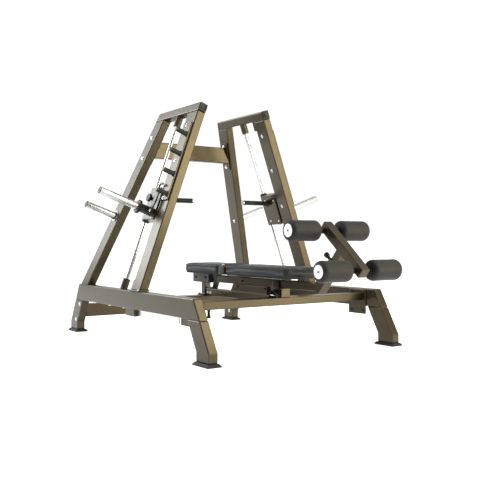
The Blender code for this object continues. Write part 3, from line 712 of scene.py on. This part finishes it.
class PRESS_OT_pads(PieceOperator, bpy.types.Operator):
    """Makes the main pad and the head pad with their boards and sewn edges"""

    bl_idname = "press.pads"
    bl_label = "Bench pads"

    def make(self):
        for node in ("main_pad", "head_pad"):
            obj, low, high = cushion(f"{node}_cushion", node, build_settings().pad_crown)
            obj.data.materials.clear()
            obj.data.materials.append(material("vinyl"))
            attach(obj, "frame")
            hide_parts(node)
            self.board(node)
            self.seams(node, low, high)

    def board(self, node):
        """The stapled underside: a board a little smaller than the pad, with a rounded rim."""
        low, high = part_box(node)
        rim = 0.012

        def fill(shape):
            bmesh.ops.create_cube(shape, size=1)
            bmesh.ops.scale(shape, vec=(high.x - low.x - 2 * rim, high.y - low.y - 2 * rim, 0.014),
                            verts=shape.verts)
            uprights = [e for e in shape.edges if abs(e.verts[0].co.z - e.verts[1].co.z) > 0.001]
            bmesh.ops.bevel(shape, geom=uprights, offset=0.026, segments=6, affect="EDGES", profile=0.5)
            bmesh.ops.translate(shape, vec=((low.x + high.x) / 2, (low.y + high.y) / 2, low.z + 0.007),
                                verts=shape.verts)
        board = add_piece(f"{node}_board", mesh_from(f"{node}_board", fill), "board", "frame")
        soften(board, 0.0018)

    def seams(self, node, low, high):
        """Two rows of piping, the upper one 2 mm inside the lower one."""
        for level, inset, z in (("lower", 0.0, low.z + 0.010), ("upper", 0.002, high.z - 0.010)):
            step = Vector((inset, inset, 0))
            mesh = seam_cord(f"{level}_piping", low + step, high - step, z, build_settings().piping)
            cord = add_piece(f"{node}_{level}_piping", mesh, "piping", "frame", smooth=60)


class PRESS_OT_rollers(PieceOperator, bpy.types.Operator):
    """Makes the four foam rollers with their end discs"""

    bl_idname = "press.rollers"
    bl_label = "Leg rollers"

    def make(self):
        for level in ("upper", "lower"):
            for name, side in SIDES:
                node = f"{level}_{name}_roller"
                low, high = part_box(node)
                middle = (low + high) / 2
                radius = (high.z - low.z) / 2
                long = high.x - low.x
                inner_x = middle.x - side * long / 2
                place = aim((inner_x, middle.y, middle.z), (side, 0, 0))
                body = f"{node}_body"
                self.foam(node, body, place, radius, long)
                self.disc(node, body, place, long)
                self.collar(node, body, place)

    def foam(self, node, body, place, radius, long):
        """Foam with round shoulders, pinched a little where the end plugs pull it in."""
        seat = build_settings().disc_radius
        waist = [(long * t, radius - 0.0007 * math.sin(math.pi * t)) for t in (0.2, 0.35, 0.5, 0.65, 0.8)]
        far = [(long - 0.026 * (1 - math.sin(a)), radius - 0.021 * (1 - math.cos(a)))
               for a in (math.pi / 2 * k / 7 for k in range(8))]
        near = [(0.026 * (1 - math.sin(a)), radius - 0.021 * (1 - math.cos(a)))
                for a in (math.pi / 2 * (1 - k / 7) for k in range(8))]
        profile = [(0.004, 0.0128), (0.004, 0.024), (0.0, 0.034)] + near + waist + far
        profile += [(long - 0.001, seat + 0.002), (long - 0.004, seat + 0.0004), (long - 0.006, seat - 0.002),
                    (long - 0.006, 0.0128), (0.004, 0.0128)]
        mesh = mesh_from(f"{node}_foam", lambda shape: turn(shape, profile, 64, place))
        shape = bmesh.new()
        shape.from_mesh(mesh)
        bmesh.ops.remove_doubles(shape, verts=shape.verts, dist=1e-6)
        shape.to_mesh(mesh)
        shape.free()
        for vertex in mesh.vertices:
            offset = vertex.co - place.translation
            offset.x = 0
            if offset.length > radius - 0.004:
                push = noise.noise(vertex.co * 22.0) * 0.0005
                vertex.co += offset.normalized() * (push - 0.0004)
        foam = add_piece(f"{node}_foam", mesh, "foam", body, smooth=60)
        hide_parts(node)

    def disc(self, node, body, place, long):
        """The dished aluminium end disc with its screw."""
        r = build_settings().disc_radius
        top = long - 0.0002
        profile = [(top - 0.005, 0), (top - 0.005, r - 0.0006), (top - 0.0016, r), (top - 0.0004, r - 0.0014),
                   (top - 0.0006, r * 0.80), (top - 0.0018, r * 0.74), (top - 0.0018, r * 0.34),
                   (top - 0.0006, r * 0.28), (top - 0.0006, r * 0.17), (top - 0.003, r * 0.14),
                   (top - 0.003, 0)]
        turned(f"{node}_disc", profile, place, 56, "aluminium", body, "steel", (0.0006, 2))
        screw = place @ Matrix.Translation((0, 0, top - 0.0031))
        head = [(0, 0), (0, 0.0046), (0.0016, 0.0044), (0.0024, 0.0034), (0.0024, 0.0022), (0.0008, 0.0020),
                (0.0008, 0)]
        turned(f"{node}_screw", head, screw, 24, "plastic", body, "plastic")

    def collar(self, node, body, place):
        """The bush at the foam's inner end, and the black tube on the axle from there to the arm."""
        profile = [(0.0045, 0.0127), (0.0045, 0.024), (-0.0085, 0.024), (-0.0085, 0.0127), (0.0045, 0.0127)]
        turned(f"{node}_bush", profile, place, 40, "plastic", body, "plastic", (0.0020, 3))
        tube = [(-0.0095, 0.0122), (-0.0095, 0.0165), (-0.0520, 0.0165), (-0.0520, 0.0122), (-0.0095, 0.0122)]
        turned(f"{node}_spacer", tube, place, 36, "plastic", "leg_hold", "plastic", (0.0012, 2))


class PRESS_OT_handles(PieceOperator, bpy.types.Operator):
    """Makes the ribbed grips and the round knobs of the handles"""

    bl_idname = "press.handles"
    bl_label = "Handles"

    def make(self):
        for name, side in SIDES:
            node = f"{name}_grip"
            low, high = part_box(node)
            middle = (low + high) / 2
            long = high.x - low.x
            radius = (high.z - low.z) / 2
            place = aim((middle.x + side * long / 2, middle.y, middle.z), (-side, 0, 0))
            profile = [(0.0, 0.0129), (0.0, radius), (0.004, radius + 0.0012), (0.008, radius)]
            ribs, start = 26, 0.014
            pitch = (long - 2 * start) / ribs
            for k in range(ribs):
                at = start + pitch * k
                profile += [(at + pitch * 0.15, radius - 0.0011), (at + pitch * 0.50, radius - 0.0011),
                            (at + pitch * 0.62, radius), (at + pitch * 0.98, radius)]
            profile += [(long - 0.008, radius), (long - 0.004, radius + 0.0012), (long, radius),
                        (long, 0.0129), (0.0, 0.0129)]
            self.boss(name, side)
            mesh = mesh_from(node, lambda shape: turn(shape, profile, 40, place))
            grip = add_piece(f"{name}_ribbed_grip", mesh, "grip", f"{name}_handle", smooth=30)
            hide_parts(node)

    def boss(self, name, side):
        """The black hub at the root of the handle."""
        low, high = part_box(f"{name}_handle_bar")
        middle = (low + high) / 2
        root = aim((high.x if side > 0 else low.x, middle.y, middle.z), (-side, 0, 0))
        profile = [(0.0010, 0.0127), (0.0010, 0.0225), (0.0090, 0.0240), (0.0160, 0.0225), (0.0280, 0.0170),
                   (0.0280, 0.0127), (0.0010, 0.0127)]
        turned(f"{name}_handle_hub", profile, root, 40, "plastic", f"{name}_handle", "plastic", (0.0012, 2))


class PRESS_OT_pegs(PieceOperator, bpy.types.Operator):
    """Sleeves the pegs of both rails in black rubber"""

    bl_idname = "press.pegs"
    bl_label = "Peg sleeves"

    def make(self):
        for name, side in SIDES:
            y, long = PEGS[name]

            def fill(shape, side=side, y=y, long=long):
                for k in range(4):
                    root = tower_place(side, 0.0305, y, PEG_LOW + PEG_PITCH * k).translation
                    place = aim(root, outward(side))
                    profile = [(0.012, 0.0140), (0.012, 0.0195), (0.016, 0.0205), (0.020, 0.0160),
                               (long - 0.006, 0.0156), (long + 0.0006, 0.0145), (long + 0.0016, 0.0110),
                               (long + 0.0016, 0.0), (long + 0.0004, 0.0), (long + 0.0004, 0.0140),
                               (0.012, 0.0140)]
                    turn(shape, profile, 36, place)
            add_piece(f"{name}_peg_sleeves", mesh_from("peg_sleeves", fill), "rubber", "frame")


class PRESS_OT_bolts(PieceOperator, bpy.types.Operator):
    """Sets the bolts, washers and screws of the frame"""

    bl_idname = "press.bolts"
    bl_label = "Bolts"

    def make(self):
        for name, side in SIDES:
            self.tower_bolts(name, side)
            self.base_bolts(name, side)
            self.carriage_bolts(name, side)
        self.bench_bolts()

    def tower_bolts(self, name, side):
        """Rail bolts through the front column, flange bolts on the rear column, and the horn's bolt."""
        inward = -outward(side)
        inner = [aim(tower_place(side, -0.030, -0.105, up).translation, inward)
                 for up in (1.165, 0.905, 0.630)]
        outer = [aim(tower_place(side, 0.0425, -0.105, up).translation, outward(side))
                 for up in (1.165, 0.905, 0.635)]

        def rear(up, out=-0.0383):
            return tower_place(side, out, rear_middle(up), up).translation
        flange = [aim(rear(up), inward) for up in (1.142, 0.984)]
        shank = [aim(rear(up, 0.030), outward(side)) for up in (1.142, 0.984)]
        horn = [aim(rear(STORAGE_UP, -0.030), inward)]
        bolts(f"{name}_rail_bolts", inner + outer, "frame", 0.0085, dome=True)
        bolts(f"{name}_flange_bolts", flange + shank, "frame")
        bolts(f"{name}_storage_bolt", horn, "frame", dome=True)

    def base_bolts(self, name, side):
        """Bolts of the rear leg, of the low cross beams and of the base plate."""
        x_out, x_in = side * (FRAME_X + 0.030), side * (FRAME_X - 0.030)
        out, inward = Vector((side, 0, 0)), Vector((-side, 0, 0))
        outer = [aim((x_out, y + SHIFT, z), out) for y, z in ((0.834, 0.215), (0.912, 0.094))]
        outer += [aim((x_in, 0.937 + SHIFT, 0.078), inward)]
        front = [aim((x_in - side * 0.0083, y + SHIFT, z), inward)
                 for y, z in ((-0.635, 0.215), (-0.745, 0.215), (-0.635, 0.345), (-0.745, 0.345))]
        under = [aim((side * FRAME_X, y + SHIFT, 0.247), (0, 0, -1))
                 for y in (0.70, 0.61, 0.35, 0.12)]
        plate = [aim((side * (FRAME_X + sx * 0.034), SHIFT + y, 0.3753), (0, 0, 1))
                 for sx in (-1, 1) for y in (-0.165, -0.070)]
        bolts(f"{name}_leg_bolts", outer, "frame", dome=True)
        bolts(f"{name}_front_plate_bolts", front, "frame", kind="bronze")
        bolts(f"{name}_under_bolts", under, "frame")
        bolts(f"{name}_base_plate_bolts", plate, "frame", 0.0055)

    def carriage_bolts(self, name, side):
        inward = -outward(side)
        inner = [aim(tower_place(side, -0.034, y, up).translation, inward)
                 for y, up in ((-0.022, 0.680), (-0.022, 0.520), (0.078, 0.680), (0.078, 0.520))]
        bolts(f"{name}_carriage_screws", inner, f"{name}_carriage", 0.0055, dome=True)
        pivot = aim(tower_place(side, 0.0664, -0.025, 0.540).translation, outward(side))
        bolts(f"{name}_hook_pivot", [pivot], f"{name}_hook", 0.0085, dome=True)

    def bench_bolts(self):
        """Blackened screws along the bench's supports and bright ones at their feet."""
        dark_spots = []
        for sx in (-1, 1):
            for x, y, z in ((0.030, -0.309, 0.421), (0.036, -0.257, 0.380), (0.036, -0.578, 0.382),
                            (0.045, 0.150, 0.425), (0.045, 0.290, 0.425)):
                dark_spots.append(aim((sx * x, y + SHIFT, z), (sx, 0, 0)))
        bolts("bench_side_bolts", dark_spots, "frame", 0.0075, dome=True, kind="plastic")
        foot = [aim((sx * 0.030, y + SHIFT, 0.318), (sx, 0, 0)) for sx in (-1, 1) for y in (0.102, 0.140)]
        plate = [aim((sx * 0.038, y + SHIFT, 0.3042), (0, 0, 1)) for sx in (-1, 1) for y in (0.180, 0.246)]
        bolts("brace_foot_bolts", foot, "frame", 0.0070)
        bolts("post_plate_bolts", plate, "frame", 0.0070)


class PRESS_OT_caps(PieceOperator, bpy.types.Operator):
    """Closes the tube ends and the horns with moulded caps"""

    bl_idname = "press.caps"
    bl_label = "End caps"

    def make(self):
        for name, side in SIDES:
            self.top_cap(name, side)
            self.horn_caps(name, side)
            self.horn_base(name, side)
        self.tube_caps()

    def top_cap(self, name, side):
        """The black plug in the front end of the tower's top beam."""
        place = tower_place(side, 0, -0.175, 1.307)
        plug(f"{name}_top_plug", place @ Matrix.Rotation(math.pi / 2, 4, "X"), 0.058, 0.058, 0.0055)

    def horn_caps(self, name, side):
        """Black rims and recessed centres on the tips of the plate horns."""
        spots = ((f"{name}_weight_horn_cap", 0.416, HORN_Y, HORN_UP, f"{name}_carriage"),
                 (f"{name}_storage_horn_cap", 0.2733, rear_middle(STORAGE_UP), STORAGE_UP, "frame"))
        for piece, out, y, up, body in spots:
            place = aim(tower_place(side, out, y, up).translation, outward(side))
            profile = [(-0.002, 0), (-0.002, 0.0232), (0.0012, 0.0232), (0.0022, 0.0222), (0.0022, 0.0185),
                       (0.0008, 0.0172), (0.0008, 0.006), (0.0016, 0.005), (0.0016, 0)]
            turned(piece, profile, place, 48, "plastic", body, "plastic", (0.0006, 2))

    def horn_base(self, name, side):
        """The black ring where the storage horn leaves the rear column."""
        place = aim(tower_place(side, 0.0305, rear_middle(STORAGE_UP), STORAGE_UP).translation, outward(side))
        profile = [(0, 0.0252), (0, 0.0370), (0.0045, 0.0370), (0.0080, 0.0300), (0.0150, 0.0285),
                   (0.0150, 0.0252), (0, 0.0252)]
        turned(f"{name}_storage_horn_base", profile, place, 48, "plastic", "frame", "plastic", (0.0010, 2))

    def tube_caps(self):
        """The plug in the rear end of the bench tube."""
        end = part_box("bench_tube")[1].y
        rear = Matrix.Translation((0, end, 0.4205)) @ Matrix.Rotation(-math.pi / 2, 4, "X")
        plug("bench_tube_plug", rear, 0.056, 0.046, 0.004)


def plug(name, place, wide, high, thick):
    """A square moulded plug with a raised, rounded face and a shallow dish."""
    def fill(shape):
        rows = []
        for z, w in ((-0.004, 0.94), (0.0, 0.94), (0.0, 1.0), (thick * 0.6, 1.0), (thick, 0.90),
                     (thick, 0.66), (thick - 0.0012, 0.60)):
            rows.append([shape.verts.new(place @ Vector((x, y, z)))
                         for x, y in round_outline(wide * w, high * w, 0.006 * w, 4)])
        for near, far in zip(rows, rows[1:]):
            skin(shape, near, far)
        shape.faces.new(list(reversed(rows[0])))
        shape.faces.new(rows[-1])
    return add_piece(name, mesh_from(name, fill), "plastic", "frame", smooth=32)


class PRESS_OT_carriage_trim(PieceOperator, bpy.types.Operator):
    """Adds the bearing seals, horn collars and knobs of the carriages"""

    bl_idname = "press.carriage_trim"
    bl_label = "Carriage trim"

    def make(self):
        for name, side in SIDES:
            body = f"{name}_carriage"
            for end, up, sign in (("upper", 0.728, 1), ("lower", 0.484, -1)):
                base = tower_place(side, 0, 0.1255, up)
                place = base if sign > 0 else base @ Matrix.Rotation(math.pi, 4, "X")
                profile = [(0, 0.0134), (0, 0.0225), (0.0016, 0.0225), (0.0030, 0.0205), (0.0030, 0.0150),
                           (0.0018, 0.0134), (0, 0.0134)]
                turned(f"{name}_{end}_seal", profile, place, 40, "plastic", body, "plastic")
            collar = aim(tower_place(side, 0.118, HORN_Y, HORN_UP).translation, outward(side))
            profile = [(-0.0035, 0.0302), (-0.0035, 0.040), (-0.0006, 0.0465), (0.0125, 0.0465),
                       (0.0155, 0.040), (0.0155, 0.0255), (-0.0035, 0.0255)]
            turned(f"{name}_horn_collar", profile, collar, 56, "plastic", body, "dark_paint", (0.0018, 3))
            knob = aim(tower_place(side, 0.0345, 0.066, 0.640).translation, outward(side))
            stem = [(0, 0), (0, 0.012), (0.010, 0.011), (0.014, 0.013), (0.015, 0.026), (0.018, 0.0285),
                    (0.030, 0.0285), (0.033, 0.026), (0.0335, 0.018), (0.0320, 0.016), (0.0320, 0)]
            turned(f"{name}_link_knob", stem, knob, 48, "plastic", body, "dark_paint", (0.0016, 3))


class PRESS_OT_welds(PieceOperator, bpy.types.Operator):
    """Lays the weld beads where tubes meet"""

    bl_idname = "press.welds"
    bl_label = "Welds"

    def make(self):
        for name, side in SIDES:
            self.beads(name, side)
        self.bench_beads()

    def beads(self, name, side):
        half = 0.0300

        def level(z, out):
            return (z - BEAM_TOP - out * math.sin(LEAN)) / math.cos(LEAN)

        def ring(z, front, rear):
            """Points round a leaning column where it meets a level surface."""
            corners = ((half, front), (half, rear), (-half, rear), (-half, front))
            return [tower_place(side, out, line(level(z, out)), level(z, out)).translation
                    for out, line in corners]
        deep = 0.060 / math.cos(REAR_LEAN)

        def fill(shape):
            weld_bead(shape, ring(0.3762, lambda _: -0.175, lambda _: -0.055), 0.0028, 11)
            rear_foot = ring(0.3680, lambda up: rear_middle(up) - deep, lambda up: rear_middle(up) + deep)
            weld_bead(shape, rear_foot, 0.0028, 12)
            top = 1.2765
            for near, far in ((-0.1745, -0.0555), (rear_middle(top) - deep, rear_middle(top) + deep)):
                for out in (-half, half):
                    path = [tower_place(side, out, y, top).translation for y in (near + 0.004, far - 0.004)]
                    weld_bead(shape, path, 0.0018, 13, closed=False)
        mesh = mesh_from("welds", fill)
        add_piece(f"{name}_welds", mesh, "bronze", "frame", smooth=50)

    def bench_beads(self):
        def fill(shape):
            for sx in (-1, 1):
                spine_front = [(sx * 0.030, -0.640 + SHIFT, z) for z in (0.297, 0.334)]
                weld_bead(shape, spine_front, 0.002, 21, closed=False)
                post_foot = [(sx * 0.0255, y + SHIFT, 0.3052) for y in (0.190, 0.240)]
                weld_bead(shape, post_foot, 0.0022, 22, closed=False)
        mesh = mesh_from("bench_welds", fill)
        add_piece("bench_welds", mesh, "bronze", "frame", smooth=50)


class PRESS_OT_bench_trim(PieceOperator, bpy.types.Operator):
    """Adds the adjuster plates, pins and hinge of the bench"""

    bl_idname = "press.bench_trim"
    bl_label = "Bench trim"

    def make(self):
        self.adjuster()
        self.hinge()
        self.band_peg()

    def adjuster(self):
        """Cheek plates on the front saddle, each with its slot drawn as a thin black sheet of painted shade,
        and the round hub with its cross bar on the near one.
        """
        for label, sx in (("left", -1), ("right", 1)):
            def fill(shape, sx=sx):
                outline = [(-0.052, 0.337), (0.040, 0.337), (0.040, 0.360), (0.030, 0.4452), (-0.034, 0.4452)]
                slab(shape, outline, sx * 0.0362, sx * 0.0412, ADJUSTER_Y)
            cheek = add_piece(f"adjuster_{label}_cheek", mesh_from("cheek", fill), "bronze", "frame")
            soften(cheek, 0.0012)

            # painted shade: a thin black sheet on the cheek's outer face stands for the dark hollow of the slot
            def slot(shape, sx=sx):
                outline = [(0.012 * math.cos(a) + 0.004, (0.4360 if math.sin(a) > 0 else 0.4040)
                            + 0.006 * math.sin(a)) for a in (math.tau * (k + 0.5) / 16 for k in range(16))]
                slab(shape, outline, sx * 0.0405, sx * 0.0418, ADJUSTER_Y)
            add_piece(f"adjuster_{label}_slot", mesh_from("slot", slot), "plastic", "frame")
        hub = aim(HUB, (-1, 0, 0))
        rim = [(0, 0), (0, 0.030), (0.004, 0.037), (0.020, 0.040), (0.026, 0.038), (0.028, 0.033),
               (0.024, 0.030), (0.012, 0.028), (0.010, 0.010), (0.016, 0.008), (0.016, 0)]
        turned("adjuster_hub", rim, hub, 56, "plastic", "frame", "plastic", (0.0015, 3))
        bar = aim(Vector(HUB) + Vector((-0.021, -0.029, 0)), (0, 1, 0))
        rod = [(0, 0), (0, 0.0042), (0.058, 0.0042), (0.058, 0)]
        turned("adjuster_hub_bar", rod, bar, 24, "zinc", "frame", "chrome", (0.0010, 2))

    def hinge(self):
        """The black bracket in the gap between the pads and its bright pin at the near edge."""
        y0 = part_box("main_pad")[1].y + 0.004
        y1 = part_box("head_pad")[0].y - 0.004
        for label, sx in (("left", -1), ("right", 1)):
            def fill(shape, sx=sx):
                outline = [(y0, 0.4620), (y1, 0.4620), (y1, 0.5180), (y1 - 0.018, 0.5255),
                           (y0 + 0.018, 0.5255), (y0, 0.5180)]
                slab(shape, outline, sx * HINGE_X, sx * (HINGE_X + 0.028), 0)
            bracket = add_piece(f"pad_hinge_{label}", mesh_from("pad_hinge", fill), "dark", "frame")
            soften(bracket, 0.0016)
            pin = aim((sx * 0.1225, (y0 + y1) / 2 - 0.010, 0.512), (0, 0, 1))
            profile = [(0, 0), (0, 0.0058), (0.0150, 0.0058), (0.0150, 0.0085), (0.0180, 0.0090),
                       (0.0215, 0.0080), (0.0215, 0)]
            turned(f"pad_hinge_{label}_pin", profile, pin, 28, "zinc", "frame", "chrome", (0.0008, 2))
        place = aim((-HINGE_X, (y0 + y1) / 2, 0.478), (1, 0, 0))
        rod = [(0, 0), (0, 0.006), (2 * HINGE_X, 0.006), (2 * HINGE_X, 0)]
        turned("pad_cross_pin", rod, place, 24, "zinc", "frame", "chrome")

    def band_peg(self):
        """The short black peg under the front cross beam, near its left end."""
        place = aim((-0.540, -0.700 + SHIFT, 0.285), (0, 0, -1))
        profile = [(0, 0), (0, 0.0125), (0.006, 0.0115), (0.010, 0.0085), (0.038, 0.0085), (0.042, 0.012),
                   (0.050, 0.012), (0.0525, 0.0095), (0.0525, 0)]
        turned("band_peg", profile, place, 32, "plastic", "frame", "plastic", (0.0012, 3))


class PRESS_OT_stage(PieceOperator, bpy.types.Operator):
    """Sets the floor, the soft studio light and the camera"""

    bl_idname = "press.stage"
    bl_label = "Stage"

    def make(self):
        def fill(shape):
            turn(shape, [(0, 0), (0, 150)], 96)
        floor = bpy.data.objects.new("studio_floor", mesh_from("studio_floor", fill))
        floor.location = (0, 0, -0.0005)
        floor.data.materials.append(floor_finish())
        bpy.context.scene.collection.objects.link(floor)
        self.sky()
        self.lamp("rear_left_panel", (-3.3, 4.4, 3.0), (-0.9, 0.2, 1.0), 2.6, 250, (0.84, 0.93, 1.0))
        self.lamp("front_panel", (3.0, -5.0, 1.4), (0.0, -0.4, 0.5), 2.6, 230, (1.0, 0.93, 0.68))
        self.lamp("leg_panel", (1.5, -2.6, 3.0), (-0.7, -0.6, 0.2), 1.3, 60, (1.0, 0.93, 0.68))
        self.lamp("top_panel", (-1.2, -0.8, 4.6), (0, 0, 0.6), 3.6, 30, (1, 1, 1))
        self.sun()
        self.camera()

    def sun(self):
        """A wide, faint light from overhead, which keeps the far floor as pale as the near one."""
        data = bpy.data.lights.new("overhead", "SUN")
        data.energy = 0.60
        data.angle = math.radians(70)
        obj = bpy.data.objects.new("overhead", data)
        obj.rotation_euler = (math.radians(12), math.radians(-10), 0)
        bpy.context.scene.collection.objects.link(obj)

    def sky(self):
        """Bright behind the machine and overhead, dimmer all round, so that metal has something to mirror."""
        world = bpy.data.worlds.new("studio")
        bpy.context.scene.world = world
        maker = Nodes(world)
        direction = maker.node("ShaderNodeTexCoord").outputs["Generated"]
        all_round = 0.40
        behind = maker.dot(direction, (0.572, 0.820, 0.0)).step(0.45, 0.80, all_round, 1.04)
        overhead = maker.dot(direction, (0, 0, 1)).step(0.35, 0.80, all_round, 0.60)
        background = maker.tree.nodes["Background"]
        background.inputs["Color"].default_value = (1.0, 1.0, 1.0, 1.0)
        maker.feed(background.inputs["Strength"], behind.larger(overhead))

    def lamp(self, name, at, target, size, power, colour):
        data = bpy.data.lights.new(name, "AREA")
        data.size = size
        data.energy = power
        data.color = colour
        obj = bpy.data.objects.new(name, data)
        obj.location = at
        obj.rotation_euler = (Vector(target) - Vector(at)).to_track_quat("-Z", "Y").to_euler()
        bpy.context.scene.collection.objects.link(obj)

    def camera(self):
        data = bpy.data.cameras.new("camera")
        data.sensor_width = 36
        data.lens = 51.7
        camera = bpy.data.objects.new("camera", data)
        camera.location = (-2.783, -4.346 + SHIFT, 0.700)
        camera.rotation_euler = (math.radians(90 - 0.81), 0, math.radians(-34.89))
        bpy.context.scene.collection.objects.link(camera)
        bpy.context.scene.camera = camera
        bpy.context.scene.view_settings.view_transform = "Standard"


OPERATORS = (
    PRESS_OT_finishes,
    PRESS_OT_pads,
    PRESS_OT_rollers,
    PRESS_OT_handles,
    PRESS_OT_pegs,
    PRESS_OT_bolts,
    PRESS_OT_caps,
    PRESS_OT_carriage_trim,
    PRESS_OT_welds,
    PRESS_OT_bench_trim,
    PRESS_OT_stage,
)


class PRESS_PT_panel(bpy.types.Panel):
    """Lists the steps of the build and their settings."""

    bl_label = "Press"
    bl_idname = "PRESS_PT_panel"
    bl_space_type = "VIEW_3D"
    bl_region_type = "UI"
    bl_category = "Press"

    def draw(self, context):
        layout = self.layout
        for group in (context.scene.press_finish, context.scene.press_build):
            box = layout.box()
            for name in group.__annotations__:
                box.prop(group, name)
        for operator in OPERATORS:
            layout.operator(operator.bl_idname)


CLASSES = (FinishSettings, BuildSettings, *OPERATORS, PRESS_PT_panel)


def register():
    for kind in CLASSES:
        bpy.utils.register_class(kind)
    bpy.types.Scene.press_finish = bpy.props.PointerProperty(type=FinishSettings)
    bpy.types.Scene.press_build = bpy.props.PointerProperty(type=BuildSettings)


def unregister():
    del bpy.types.Scene.press_finish
    del bpy.types.Scene.press_build
    for kind in reversed(CLASSES):
        bpy.utils.unregister_class(kind)


def main():
    register()
    for operator in OPERATORS:
        group, name = operator.bl_idname.split(".")
        getattr(getattr(bpy.ops, group), name)()
    bpy.context.view_layer.update()


if __name__ == "__main__":
    main()
